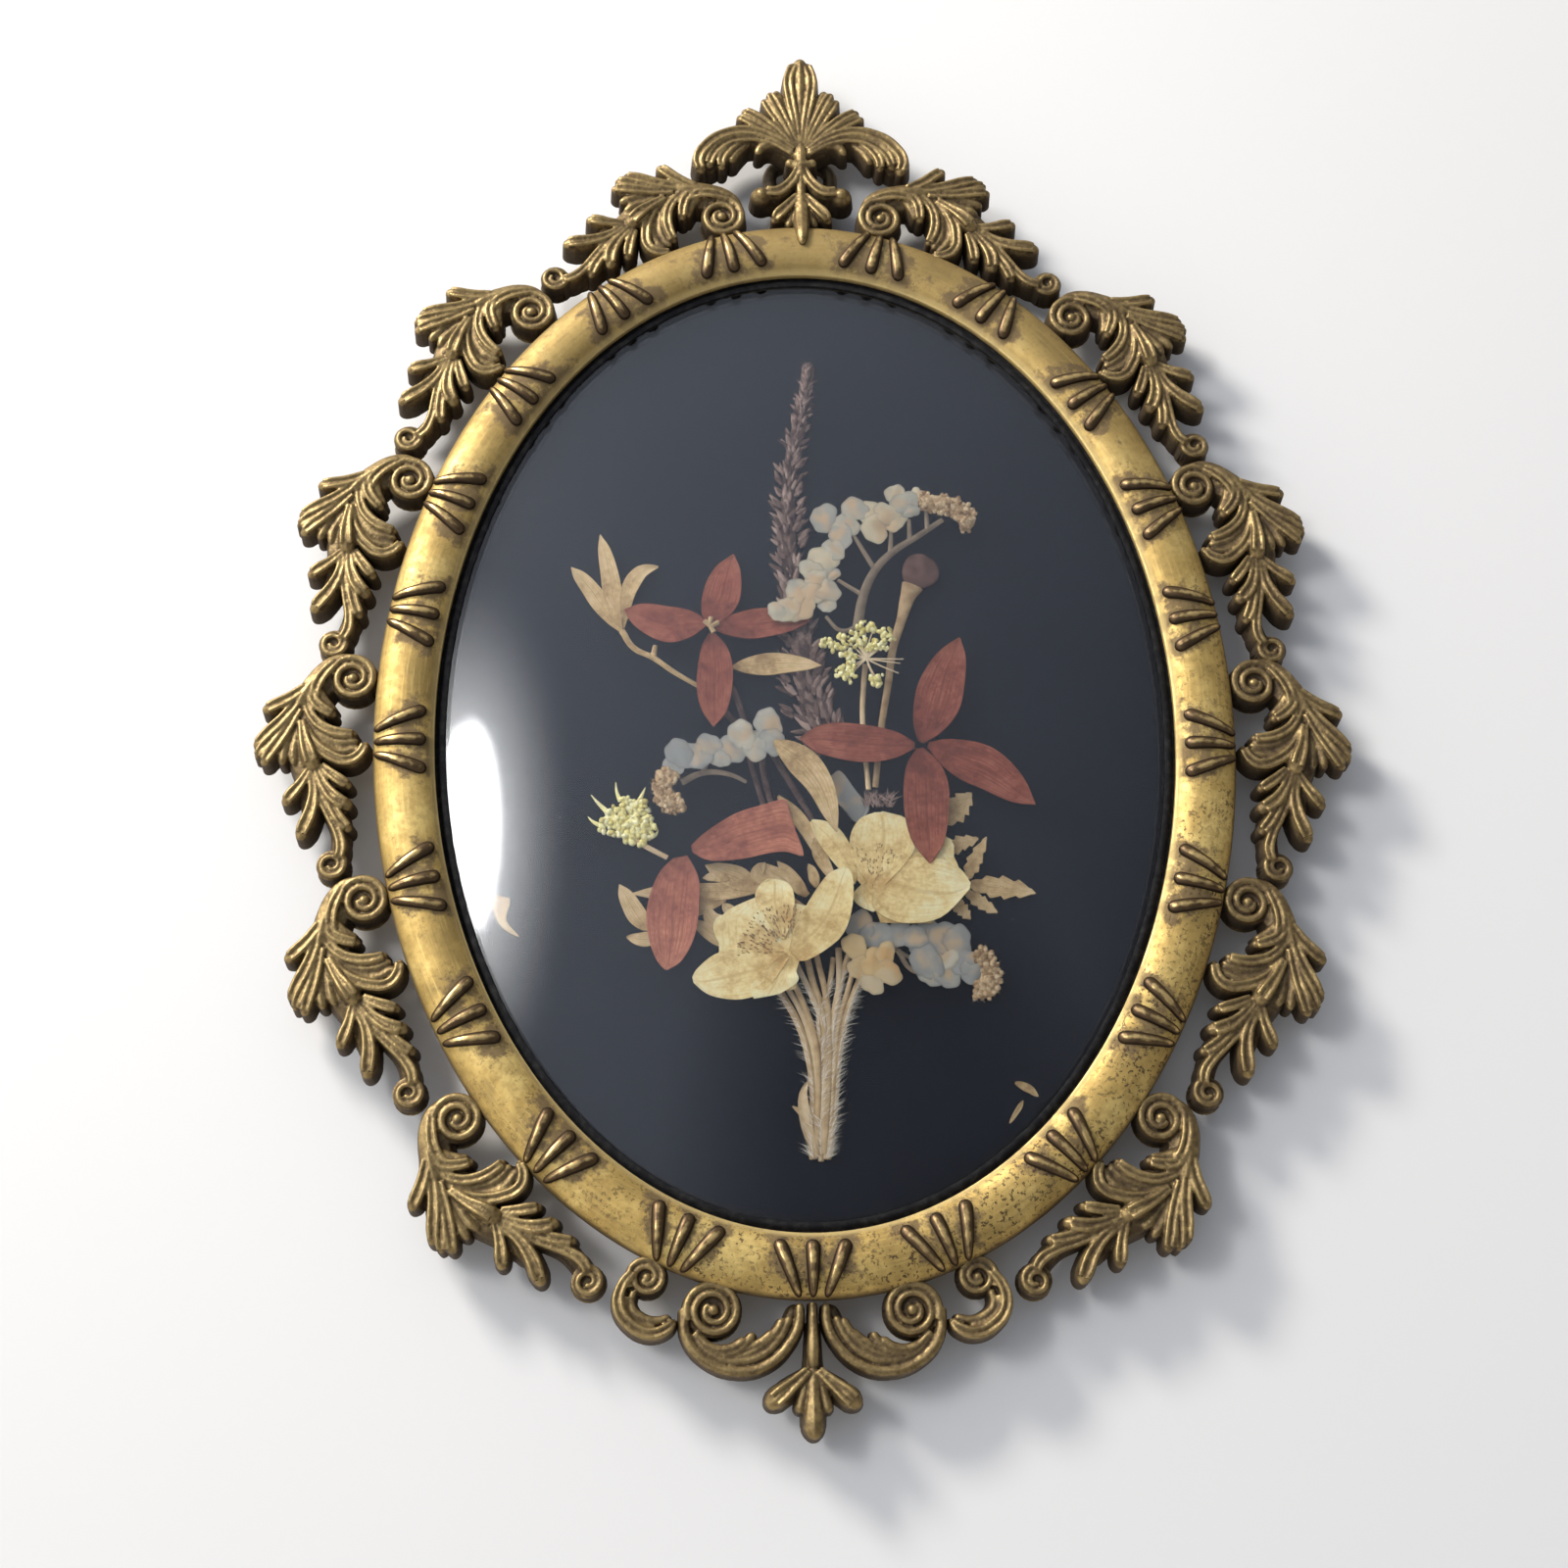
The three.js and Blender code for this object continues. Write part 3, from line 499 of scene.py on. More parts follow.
def ballPiece(x, y, z, radius):
    bpy.ops.mesh.primitive_uv_sphere_add(segments=24, ring_count=14, radius=radius * mm,
                                         location=(x * mm, y * mm, z * mm))
    return placeInMesh(bpy.context.object)


# Ridges of (x, y, radius) or (x, y, radius, lift) at the height of the relief, each with a round end
def atRelief(ridges, base=None):
    level = border["reliefZ"] if base is None else base
    strokes = []
    for ridge in ridges:
        stroke = [(p[0], p[1], level + (p[3] if len(p) > 3 else 0), max(p[2], border["tip"])) for p in ridge]
        before, last = stroke[-2:]
        ahead = (Vector(last[:2]) - Vector(before[:2])).normalized() * last[3]
        for reach, drop, thin in border["roundEnd"]:
            stroke.append((last[0] + reach * ahead.x, last[1] + reach * ahead.y, last[2] - drop * last[3],
                           thin * last[3]))
        strokes.append(stroke)
    return strokes


# Two fine lines along each broad ridge, with a groove between them
def fineLines(ridges):
    strokes = []
    for ridge in ridges:
        if max(p[2] for p in ridge) < border["broad"]:
            continue
        for side in (-1, 1):
            stroke = []
            for i, p in enumerate(ridge):
                before, after = ridge[max(i - 1, 0)], ridge[min(i + 1, len(ridge) - 1)]
                ahead = (Vector(after[:2]) - Vector(before[:2])).normalized()
                aside = side * border["fineAside"] * p[2]
                z = border["reliefZ"] + (p[3] if len(p) > 3 else 0) + border["fineLift"] * p[2]
                stroke.append((p[0] + ahead.y * aside, p[1] - ahead.x * aside, z, border["fine"]))
            strokes.append(stroke)
    return strokes


def acrossMiddle(strokes):
    return strokes + [[(-x, y, z, radius) for x, y, z, radius in stroke] for stroke in strokes]


# Fuses strokes and discs into one cast piece, then draws its underside down to the flat back
def castPiece(name, strokes, extras):
    body = joinPieces([strokesToMesh(name, strokes), *extras], name)
    applyModifier(body, "REMESH", mode="VOXEL", voxel_size=border["voxel"] * mm)
    applyModifier(body, "SMOOTH", factor=border["soften"], iterations=2)
    body.data.polygons.foreach_set("select", [face.normal.z < border["under"] for face in body.data.polygons])
    pick(body)
    bpy.ops.object.mode_set(mode="EDIT")
    bpy.ops.mesh.select_mode(type="FACE")
    bpy.ops.transform.shrink_fatten(value=border["draft"] * mm)
    bpy.ops.transform.resize(value=(1, 1, 0), center_override=(0, 0, border["backZ"] * mm))
    bpy.ops.object.mode_set(mode="OBJECT")
    applyModifier(body, "DECIMATE", ratio=border["keep"])
    return body


# One leaf scroll: x runs along the leaf from its rolled end, y out from the rim
leafShape = {
    "ridges": [
        [(-3.4, 0.6, 0.6), (-3, 2.5, 0.9, -0.1), (-1.3, 4.4, 1.35, -0.3), (1.4, 6, 1.65, -0.4),
         (4.4, 7.4, 1.5, -0.3)],
        [(-2.3, 2.8, 0.7), (-0.6, 4.1, 1.0), (1.6, 5.1, 1.05), (3.4, 5.3, 0.85)],
        [(2, 6.8, 0.9), (4, 9.2, 1.1), (5.1, 11, 1.2), (5.6, 12, 1.0)],
        [(3.8, 7.4, 0.8), (7.2, 9.6, 1.05), (9.8, 11.7, 1.15), (11.2, 12.8, 0.9)],
        [(5.8, 8.5, 0.6), (9.4, 10.3, 0.9), (12.2, 12.2, 0.95), (12.9, 12.7, 0.6)],
        [(5.4, 7.4, 0.8), (9, 8.9, 0.9), (12, 10.5, 1.1), (13.8, 11.5, 0.85)],
        [(7.2, 7.7, 0.7), (10.2, 8.6, 0.8), (12.8, 9, 0.85), (13.6, 9, 0.7)],
        [(7.6, 7.1, 0.6), (10.6, 7.5, 0.7), (12.8, 7.5, 0.8), (13.6, 7.3, 0.6)],
        [(7.2, 6.8, 0.5, 0.2), (10.2, 6, 0.95, 0.4), (12.4, 5.1, 1.35, 0.6), (13.8, 4.5, 1.3, 0.5)],
        [(1.6, 6, 0.8), (3.9, 5.3, 0.95), (5.2, 3.9, 0.95), (5.9, 2.5, 0.75)],
        [(0.9, 5.2, 0.8), (3, 4.4, 0.85), (4.4, 3.2, 0.7), (4.9, 2.5, 0.55)],
        [(4.2, 6.6, 0.6), (6.8, 5.1, 0.8), (8.3, 3.1, 0.9), (8.9, 0.9, 0.9), (8.9, -0.9, 0.7)],
        [(5, 7, 0.6), (7.8, 5.5, 0.75), (9.6, 3.1, 0.8), (10.3, 0.6, 0.8), (10, -1.3, 0.6)],
        [(6.2, 7, 0.6), (9.1, 5.5, 0.75), (11, 3.2, 0.85), (11.7, 0.5, 0.8), (11.1, -1.6, 0.6)],
        [(7.6, 6.6, 0.6), (10.8, 4.5, 0.9), (12.7, 1.7, 1.0), (13.2, -0.6, 1.0), (12.2, -2.2, 0.9),
         (10.6, -2.9, 0.7)],
        [(15, 4.9, 0.6), (17.2, 5.9, 0.9), (18.8, 6.9, 1.15), (19.8, 7.6, 0.95)],
        [(15.6, 4.4, 0.6), (18.6, 3.8, 0.9), (21.4, 3.9, 1.25), (23.9, 4.6, 1.35), (24.8, 4.9, 1.1)],
        [(15, 4.2, 0.6), (18.8, 2.8, 0.75), (21.8, 1.1, 0.75), (24.4, -0.4, 0.8), (26.6, -1.1, 0.9), (28, -0.9, 0.8)],
        [(14, 3.2, 0.5), (15.4, 1.5, 0.9), (16.4, 0, 1.05), (16.9, -0.9, 0.8)],
        [(15, 3.6, 0.6), (17.4, 2.2, 0.95), (19.2, 0.5, 1.3), (20, -1.0, 1.15)],
        [(17, 2.9, 0.5), (19.9, 1.2, 0.8), (22.2, -0.4, 1.0), (23.5, -1.6, 0.85)],
    ],
    "web": [
        [(-1.4, 3.6, 1.6), (2.2, 6.2, 2), (6, 8, 2.2), (9.6, 10, 2.4), (11.6, 11.2, 2)],
        [(6, 8, 1.8), (10.4, 7.4, 2.1), (13, 6.6, 1.8), (17, 5, 1.6), (21, 4.2, 1.4)],
        [(6, 5.6, 1.6), (9, 3.4, 2), (10.9, 0.6, 2), (10.9, -1.2, 1.4)],
        [(15, 3.8, 1.4), (18.4, 2, 1.9), (21, 0.6, 1.7), (24, -0.4, 1.4), (28, -0.4, 1.2)],
        [(4.4, 8.2, 1.5), (5.2, 10.6, 1.3)],
        [(0, 3, 1.6), (2.6, 4.8, 1.8), (5.4, 5.6, 1.8)],
    ],
    "volute": {"radius": 3.5, "start": 100, "turns": 2.0, "bead": 0.64},
    "tail": {"x": 29.2, "y": 0.1, "radius": 2.3, "start": -150, "turns": 1.6, "bead": 0.48},
}


def makeLeaf():
    volute = leafShape["volute"]
    tail = leafShape["tail"]
    ridges = leafShape["ridges"]
    strokes = atRelief(ridges) + fineLines(ridges[1:]) + atRelief(leafShape["web"], border["webZ"])
    strokes.append(scrollStrokes(0, 0, volute["radius"], volute["start"], volute["turns"], volute["bead"]))
    strokes.append(scrollStrokes(tail["x"], tail["y"], tail["radius"] - 0.3, tail["start"], tail["turns"],
                                 tail["bead"]))
    extras = [discPiece(0, 0, volute["radius"] - 0.1), discPiece(tail["x"], tail["y"], tail["radius"]),
              ballPiece(0, 0, border["reliefZ"] + 0.2, 0.75)]
    return castPiece("leafPattern", strokes, extras)


# Where each rolled end lies on the left side, and which way its leaf runs
leafPlaces = [(-12.9, 87.1, -156.1), (-43.2, 69.1, -128.9), (-61, 39.2, -110.1),
              (-67.9, 6.2, -92.7), (-64.4, -28.3, -74.4), (-49.6, -60.1, -50)]

leafPattern = makeLeaf()
for sideName, side in (("left", -1), ("right", 1)):
    for number, (x, y, turn) in enumerate(leafPlaces, 1):
        angle = turn if side < 0 else 180 - turn
        spot = (Matrix.Translation((-side * x * mm, y * mm, 0)) @ Matrix.Rotation(math.radians(angle), 4, "Z")
                @ Matrix.Diagonal((1, side, 1, 1)))
        leaf = copyOf(leafPattern, spot, f"leafScroll_{sideName}_{number}")
        finishPiece(leaf, castBrass, [f"leaf_scroll_{sideName}_{number}"])
print("leaf scrolls:", len(leafPattern.data.polygons), "faces each")
dropObject(leafPattern)

crestShape = {
    "middle": [
        [(0, 100.4, 0.6), (0, 106, 0.8), (0, 111.6, 1.05, 0.15), (0, 115.4, 1.3), (0, 116.6, 1.25)],
        [(0, 101.6, 0.6, 0.1), (0, 99.6, 1.0, 0.15), (0, 97, 1.15, 0.2), (0, 94, 1.0), (0, 91.4, 0.9)],
        [(-1.5, 97.1, 0.85, 0.3), (0, 96.8, 1.05, 0.4), (1.5, 97.1, 0.85, 0.3)],
        [(0, 92.6, 0.7, 0.2), (0, 88.6, 1.25, 0.4), (0, 85.6, 1.35, 1.1), (0, 83.4, 1.1, 2.3), (0, 81.8, 0.9, 2.75),
         (0, 81, 0.65, 2.85)],
    ],
    "halves": [
        [(0.3, 100.6, 0.5), (1.0, 106, 0.75), (1.75, 110.4, 1.05), (1.95, 113.4, 1.05), (1.2, 116.1, 0.95)],
        [(0.4, 100.8, 0.45), (1.7, 105.4, 0.7), (3.1, 109.2, 0.85), (3.9, 110.9, 0.7)],
        [(0.6, 100.6, 0.5), (2.4, 105, 0.8), (4.2, 108.9, 1.0), (4.9, 110.4, 0.85)],
        [(0.9, 100.4, 0.5), (3.2, 104.5, 0.7), (5.2, 107.8, 0.9), (5.9, 109.2, 0.75)],
        [(1.0, 100.3, 0.5), (4, 103.4, 0.8), (7.2, 106, 1.05), (9, 107.1, 0.85)],
        [(1.2, 100.1, 0.5), (4.6, 102.7, 0.75), (8, 104.9, 0.95), (9.9, 106, 0.75)],
        [(1.2, 99.8, 0.6), (4.4, 102, 0.9), (8.6, 103.2, 1.1), (12.4, 102.5, 1.2), (15.3, 100.4, 1.25),
         (16.8, 97.6, 1.15), (16.4, 96, 0.95)],
        [(1.4, 99.4, 0.6), (5, 101.4, 0.8), (9, 101.9, 0.9), (12.2, 100.9, 1.0), (14.3, 98.8, 1.0), (15, 97, 0.85)],
        [(10, 101.4, 0.6), (12, 99.5, 0.9), (13, 97.6, 0.9), (13, 96.6, 0.7)],
        [(8.6, 101.2, 0.5), (10.4, 99.4, 0.75), (11.3, 98, 0.75)],
        [(0.9, 98.9, 0.7), (2.7, 100.2, 0.8), (4.8, 100.9, 0.85), (6.5, 100.4, 0.85), (7, 99.6, 0.7)],
        [(0.5, 95.8, 0.8), (1.8, 93.4, 1.0), (3.8, 91.7, 1.15), (5.6, 91.7, 1.1)],
        [(0.6, 91.2, 0.6), (2.2, 89, 1.1), (3.8, 87.2, 1.2), (4.3, 86.6, 0.8)],
        [(0.4, 90.6, 0.5), (1.3, 87.8, 0.8), (2, 85.9, 0.8)],
    ],
    "web": [
        [(0, 99.6, 1.4), (0, 104, 1.8), (0, 109, 2.4), (0, 113.4, 2.3), (0, 116, 1.6)],
        [(0, 99.6, 1.4), (0, 95, 1.2), (0, 91, 1.4), (0, 88.4, 2), (0, 86.4, 2.6)],
    ],
    "webHalves": [
        [(1, 101, 1.3), (3.4, 106, 1.9), (4.6, 109.4, 1.6)],
        [(1, 100.6, 1.3), (5.4, 104, 1.9), (8.8, 106.2, 1.5)],
        [(1.4, 99.6, 1.2), (6, 102, 1.7), (11, 101.6, 2), (14.4, 99, 2), (15, 97.2, 1.6)],
        [(0.8, 94.6, 0.9), (3, 92, 1.2), (6, 91, 1.4)],
    ],
    "beads": [(-1.8, 97.2, 0.8), (1.8, 97.2, 0.8), (0, 95.4, 0.9)],
    "ball": (6.5, 91.3, 1.85),
}


def makeCrest():
    halves = crestShape["halves"]
    strokes = atRelief(crestShape["middle"]) + acrossMiddle(atRelief(halves) + fineLines(halves))
    strokes += atRelief(crestShape["web"], border["webZ"])
    strokes += acrossMiddle(atRelief(crestShape["webHalves"], border["webZ"]))
    extras = [ballPiece(x, y, border["reliefZ"] + 0.4, radius) for x, y, radius in crestShape["beads"]]
    for side in (-1, 1):
        x, y, radius = crestShape["ball"]
        extras.append(ballPiece(side * x, y, border["reliefZ"] - 0.8, radius))
        extras.append(ballPiece(side * x, y, border["reliefZ"] + 0.5, 0.55 * radius))
    return castPiece("crestPalmette", strokes, extras)


finishPiece(makeCrest(), castBrass, ["crest"])

pendantShape = {
    "middle": [
        [(0, -85.4, 0.55), (0, -88.6, 0.65, 0.2), (0, -92, 0.9, 0.3), (0, -93.8, 0.75)],
        [(0, -94.4, 0.6), (0, -97.6, 1.0, 0.2), (0, -100.6, 1.45, 0.2), (0, -102.2, 1.5)],
    ],
    "halves": [
        [(17.7, -86.2, 0.7), (17.3, -90, 0.8), (14.6, -93.2, 0.8), (10.2, -94.6, 0.8), (6.2, -93.7, 0.8),
         (3.3, -91, 0.75), (2, -88.4, 0.7), (1.8, -86, 0.6)],
        [(16.4, -89.6, 0.5), (14, -92.2, 0.6), (10.4, -93.2, 0.65), (7, -92.4, 0.65), (4.6, -90.2, 0.65),
         (3.3, -87.7, 0.6)],
        [(12, -93, 0.5), (8.4, -92, 0.6), (6, -90.4, 0.7), (4.8, -88.9, 0.7), (4.3, -88, 0.65)],
        [(11.4, -92, 0.5), (8.6, -91.4, 0.6), (6.8, -90.5, 0.7), (5.6, -89.5, 0.65)],
        [(16.2, -89.4, 0.5), (13.8, -91.4, 0.7), (11.2, -91.5, 0.75), (9.6, -90.6, 0.75)],
        [(14.8, -91.6, 0.5), (12, -92.4, 0.65), (9.8, -91.6, 0.7), (8.4, -89.9, 0.65)],
        [(0.5, -94.6, 0.5), (1.3, -97.2, 0.75), (1.9, -99.4, 0.8)],
        [(0.7, -94.4, 0.6), (2.7, -96.2, 1.1), (4.6, -97.8, 1.6), (5.3, -98.4, 1.55)],
    ],
    "webHalves": [
        [(16.6, -88.6, 1.0), (14.4, -92, 1.3), (10.4, -93, 1.3), (6.4, -91.8, 1.3), (3.8, -89, 1.1),
         (2.6, -86.4, 0.9)],
        [(0.6, -95, 1.2), (3.4, -97, 1.6), (5, -98.2, 1.5)],
        [(0, -88, 0.9), (0, -93, 1.2), (0, -98, 1.8), (0, -101.6, 1.6)],
    ],
    "volute": {"x": 13.65, "y": -86.45, "radius": 3.8, "start": -20, "turns": 2.2, "bead": 0.6},
}


def makePendant():
    volute = pendantShape["volute"]
    spiral = scrollStrokes(volute["x"], volute["y"], volute["radius"], volute["start"], volute["turns"],
                           volute["bead"])
    halves = pendantShape["halves"]
    strokes = atRelief(pendantShape["middle"]) + acrossMiddle(atRelief(halves) + fineLines(halves) + [spiral])
    strokes += acrossMiddle(atRelief(pendantShape["webHalves"], border["webZ"]))
    extras = []
    for side in (-1, 1):
        extras.append(discPiece(side * volute["x"], volute["y"], volute["radius"] - 0.1))
        extras.append(ballPiece(side * volute["x"], volute["y"], border["reliefZ"] + 0.2, 0.75))
    return castPiece("pendantScroll", strokes, extras)


finishPiece(makePendant(), castBrass, ["pendant"])

smallScroll = {
    "ridges": [
        [(24.8, -81.2, 0.6), (26.3, -83.4, 0.85), (26.6, -86, 1.0), (25.1, -88.3, 1.05), (22.4, -89.6, 1.0),
         (19.9, -88.9, 0.85), (19.1, -88, 0.4)],
        [(24.6, -83.8, 0.5), (24.9, -85.8, 0.7), (23.6, -87.3, 0.75), (21.4, -87.8, 0.65), (20, -87.4, 0.3)],
        [(25.6, -84.6, 0.4, 0.3), (25.7, -86.4, 0.5, 0.4), (24.3, -87.9, 0.5, 0.4), (22, -88.7, 0.4, 0.3)],
    ],
    "web": [[(25.2, -83, 1.1), (25.6, -86, 1.4), (23.8, -88, 1.4), (20.8, -88.4, 1)]],
    "volute": {"x": 22.8, "y": -82, "radius": 2.7, "start": -30, "turns": 2.0, "bead": 0.5},
}


def makeSmallScroll():
    volute = smallScroll["volute"]
    ridges = smallScroll["ridges"]
    strokes = atRelief(ridges) + fineLines(ridges) + atRelief(smallScroll["web"], border["webZ"])
    strokes.append(scrollStrokes(volute["x"], volute["y"], volute["radius"], volute["start"], volute["turns"],
                                 volute["bead"]))
    extras = [discPiece(volute["x"], volute["y"], volute["radius"] - 0.1),
              ballPiece(volute["x"], volute["y"], border["reliefZ"] + 0.2, 0.6)]
    return castPiece("smallScrollPattern", strokes, extras)


scrollPattern = makeSmallScroll()
for sideName, side in (("left", -1), ("right", 1)):
    scroll = copyOf(scrollPattern, Matrix.Diagonal((side, 1, 1, 1)), f"smallScroll_{sideName}")
    finishPiece(scroll, castBrass, [f"small_scroll_{sideName}"])
dropObject(scrollPattern)
print("crest, pendant and small scrolls cast")


# Oval rim

rim = {"halfWidth": 64.5, "halfHeight": 85.2, "band": 9.1, "outerZ": 7.0, "innerZ": 7.6, "rise": 2.6,
       "skirtInset": 2.0, "skirtWall": 1.6, "lip": 0.6, "outerLip": 0.35, "ledge": 0.5, "ledgeRound": 0.15,
       "steps": 360, "bandSteps": 26,
       "fans": [0, 18, 37, 55.5, 71.5, 87, 101.5, 115.5, 131.5, 149.5, 168.5],
       "splay": 21.0, "spacing": 1.7, "ribFrom": 0.15, "ribTo": 0.78, "ribWidth": 1.2, "ribRise": 0.85,
       "ribRound": 0.7, "ribEnd": 0.3, "ribTaper": 0.25, "ribBlunt": 0.15, "ribFull": 2.4}

# Where the gilt has rubbed, and painted light: tarnish near the ribs, painted shade on the outer edge and on the
# outer side below the band, a painted highlight along the inner edge
rimWearAndPaintedLight = {"reach": 14, "ribShare": 0.55, "core": 0.6, "fade": 3.2, "edge": 0.5, "skirtZ": 6, "skirt": 0.6,
           "paintedHighlightZ": 9.0, "paintedHighlightFade": 0.5}


def bandPoint(share):
    turn = share * math.pi
    inset = rim["band"] / 2 * (1 - math.cos(turn))
    return inset, rim["outerZ"] + (rim["innerZ"] - rim["outerZ"]) * share + rim["rise"] * math.sin(turn)


# Draws a profile of (inset, z) corner by corner and spins it round, then stretches the ring to the oval
def ovalRing(name, profile, steps):
    bpy.ops.object.select_all(action="DESELECT")
    bpy.ops.mesh.primitive_plane_add(size=mm)
    ring = bpy.context.object
    ring.name = name
    bpy.ops.object.mode_set(mode="EDIT")
    bpy.ops.mesh.select_mode(type="VERT")
    bpy.ops.mesh.select_all(action="SELECT")
    bpy.ops.mesh.merge(type="CENTER")
    corners = [Vector(((rim["halfWidth"] - inset) * mm, 0, z * mm)) for inset, z in profile]
    bpy.ops.transform.translate(value=corners[0])
    for before, after in zip(corners, corners[1:] + corners[:1]):
        bpy.ops.mesh.extrude_vertices_move(TRANSFORM_OT_translate={"value": after - before})
    bpy.ops.mesh.select_all(action="SELECT")
    bpy.ops.mesh.remove_doubles(threshold=0.01 * mm)
    bpy.ops.mesh.select_all(action="SELECT")
    bpy.ops.mesh.spin(steps=steps, angle=2 * math.pi, center=(0, 0, 0), axis=(0, 0, 1))
    bpy.ops.mesh.select_all(action="SELECT")
    bpy.ops.mesh.remove_doubles(threshold=0.005 * mm)
    bpy.ops.mesh.normals_make_consistent(inside=False)
    bpy.ops.object.mode_set(mode="OBJECT")
    longer = (rim["halfHeight"] - rim["halfWidth"]) * mm
    for vertex in ring.data.vertices:
        reach = math.hypot(vertex.co.x, vertex.co.y)
        vertex.co.y += longer * vertex.co.y / reach
    return ring


# A fan's edge point, and the turn that faces inwards there
def fanSpot(angle):
    around = math.radians(angle) - math.pi / 2
    edge = Vector((rim["halfWidth"] * math.cos(around), rim["halfHeight"] * math.sin(around), 0))
    inward = math.atan2(-rim["halfWidth"] * math.sin(around), -rim["halfHeight"] * math.cos(around))
    return edge, inward


def ribPlaces():
    places = []
    for angle in rim["fans"]:
        for side in ((1,) if angle == 0 else (1, -1)):
            edge, inward = fanSpot(side * angle)
            for seat in (-1, 0, 1):
                places.append((edge, inward, seat))
    return places


# One rib: a long grain bent over the band
def ribGrain(stretch):
    bpy.ops.mesh.primitive_uv_sphere_add(segments=16, ring_count=20, radius=1, rotation=(0, math.pi / 2, 0))
    grain = placeInMesh(bpy.context.object)
    rises = []
    for vertex in grain.data.vertices:
        along, across, up = vertex.co
        share = rim["ribFrom"] + (rim["ribTo"] - rim["ribFrom"]) * (along + 1) / 2
        inset, z = bandPoint(share)
        slope = math.atan2(*reversed([b - a for a, b in zip(bandPoint(share - 0.02), bandPoint(share + 0.02))]))
        ending = max(0.0, abs(along) - rim["ribRound"]) / rim["ribEnd"]
        blunt = (1 - along * along * rim["ribBlunt"]) / max(math.sqrt(max(1 - along * along, 0)), rim["ribBlunt"])
        fuller = min(blunt * math.sqrt(max(0.0, 1 - ending * ending)), rim["ribFull"])
        width = rim["ribWidth"] * (1 - rim["ribTaper"] + rim["ribTaper"] * along) * fuller
        lift = rim["ribRise"] * up * fuller
        vertex.co = ((inset - lift * math.sin(slope)) * stretch * mm, across * width * mm,
                     (z + lift * math.cos(slope)) * mm)
        # how high each point stands on the rib: the rib brass paints shade at the foot and a highlight along the top
        # from it
        rises.append(max(0.0, up * fuller) ** 1.5)
    floatAttribute(grain, "rise", [min(1.0, rise) for rise in rises])
    return grain


def makeRim():
    band = [bandPoint(i / rim["bandSteps"]) for i in range(rim["bandSteps"] + 1)]
    lipZ = rim["innerZ"] - rim["lip"]
    inner = rim["skirtInset"] + rim["skirtWall"]
    ledgeZ = rim["innerZ"] + rim["ledge"]
    soft = rim["ledgeRound"]
    band = [spot for spot in band if spot[0] < rim["band"] / 2 or spot[1] > ledgeZ]
    ledge = [(band[-1][0] + soft, ledgeZ), (rim["band"] - soft, ledgeZ), (rim["band"], ledgeZ - soft)]
    skirtTop = rim["outerZ"] - rim["lip"]
    profile = [(rim["skirtInset"], 0), (rim["skirtInset"], skirtTop), (rim["outerLip"], skirtTop),
               *band, *ledge, (rim["band"], lipZ), (inner, lipZ), (inner, 0)]
    ring = ovalRing("gildedRim", profile, rim["steps"])
    axes = []
    for edge, inward, seat in ribPlaces():
        turn = Matrix.Rotation(inward, 3, "Z")
        lean = Matrix.Rotation(math.radians(seat * rim["splay"]), 3, "Z")
        root = Vector((0, seat * rim["spacing"], 0))
        axes.append([edge + turn @ (root + lean @ Vector((bandPoint(share)[0], 0, 0)))
                     for share in (rim["ribFrom"], rim["ribTo"])])
    rimMarksAndPaintedLight = {"tarnish": [], "edge": [], "around": [], "inset": [], "paintedInnerHighlight": []}
    for vertex in ring.data.vertices:
        place = Vector((vertex.co.x / mm, vertex.co.y / mm, 0))
        z = vertex.co.z / mm
        near = rimWearAndPaintedLight["reach"]      # how far the nearest rib's inner part lies
        for a, b in axes:
            if (place - a).length < rimWearAndPaintedLight["reach"]:
                share = max(rimWearAndPaintedLight["ribShare"], min(1, (place - a).dot(b - a) / (b - a).length_squared))
                near = min(near, (place - (a + (b - a) * share)).length)
        rimMarksAndPaintedLight["tarnish"].append(max(0.0, 1 - max(0, near - rimWearAndPaintedLight["core"]) / rimWearAndPaintedLight["fade"]))
        inset = rim["halfWidth"] - math.hypot(place.x, place.y * rim["halfWidth"] / rim["halfHeight"])
        # painted shade: the outer 0.5 mm of the band, and all of the outer side below the band
        outer = max(0.0, 1 - max(0, inset) / rimWearAndPaintedLight["edge"])
        rimMarksAndPaintedLight["edge"].append(outer if z > rimWearAndPaintedLight["skirtZ"] else rimWearAndPaintedLight["skirt"])
        rimMarksAndPaintedLight["around"].append(abs(math.atan2(place.x, place.y)) * rim["halfHeight"])
        rimMarksAndPaintedLight["inset"].append(inset)
        # painted highlight: a bright line on the inner edge and ledge
        paintedInnerHighlight = max(0.0, min(1.0, (rimWearAndPaintedLight["paintedHighlightZ"] - z) / rimWearAndPaintedLight["paintedHighlightFade"]))
        rimMarksAndPaintedLight["paintedInnerHighlight"].append(paintedInnerHighlight if inset > rim["band"] / 2 and z > rim["innerZ"] else 0.0)
    for name, values in rimMarksAndPaintedLight.items():
        floatAttribute(ring, name, values)
    return ring


def makeRibs():
    leaning = 1 / math.cos(math.radians(rim["splay"]))
    patterns = {0: ribGrain(1), 1: ribGrain(leaning), -1: ribGrain(leaning)}
    ribs = []
    for edge, inward, seat in ribPlaces():
        spot = (Matrix.Translation(edge * mm) @ Matrix.Rotation(inward, 4, "Z")
                @ Matrix.Translation((0, seat * rim["spacing"] * mm, 0))
                @ Matrix.Rotation(math.radians(seat * rim["splay"]), 4, "Z"))
        ribs.append(copyOf(patterns[seat], spot))
    for pattern in set(patterns.values()):
        dropObject(pattern)
    return joinPieces(ribs, "rimRibs")


finishPiece(makeRim(), giltWearAndPaintedLight, ["rim"], 50)
finishPiece(makeRibs(), ribBrass, [])
print("rim and ribs made")


# Liner, glass and back

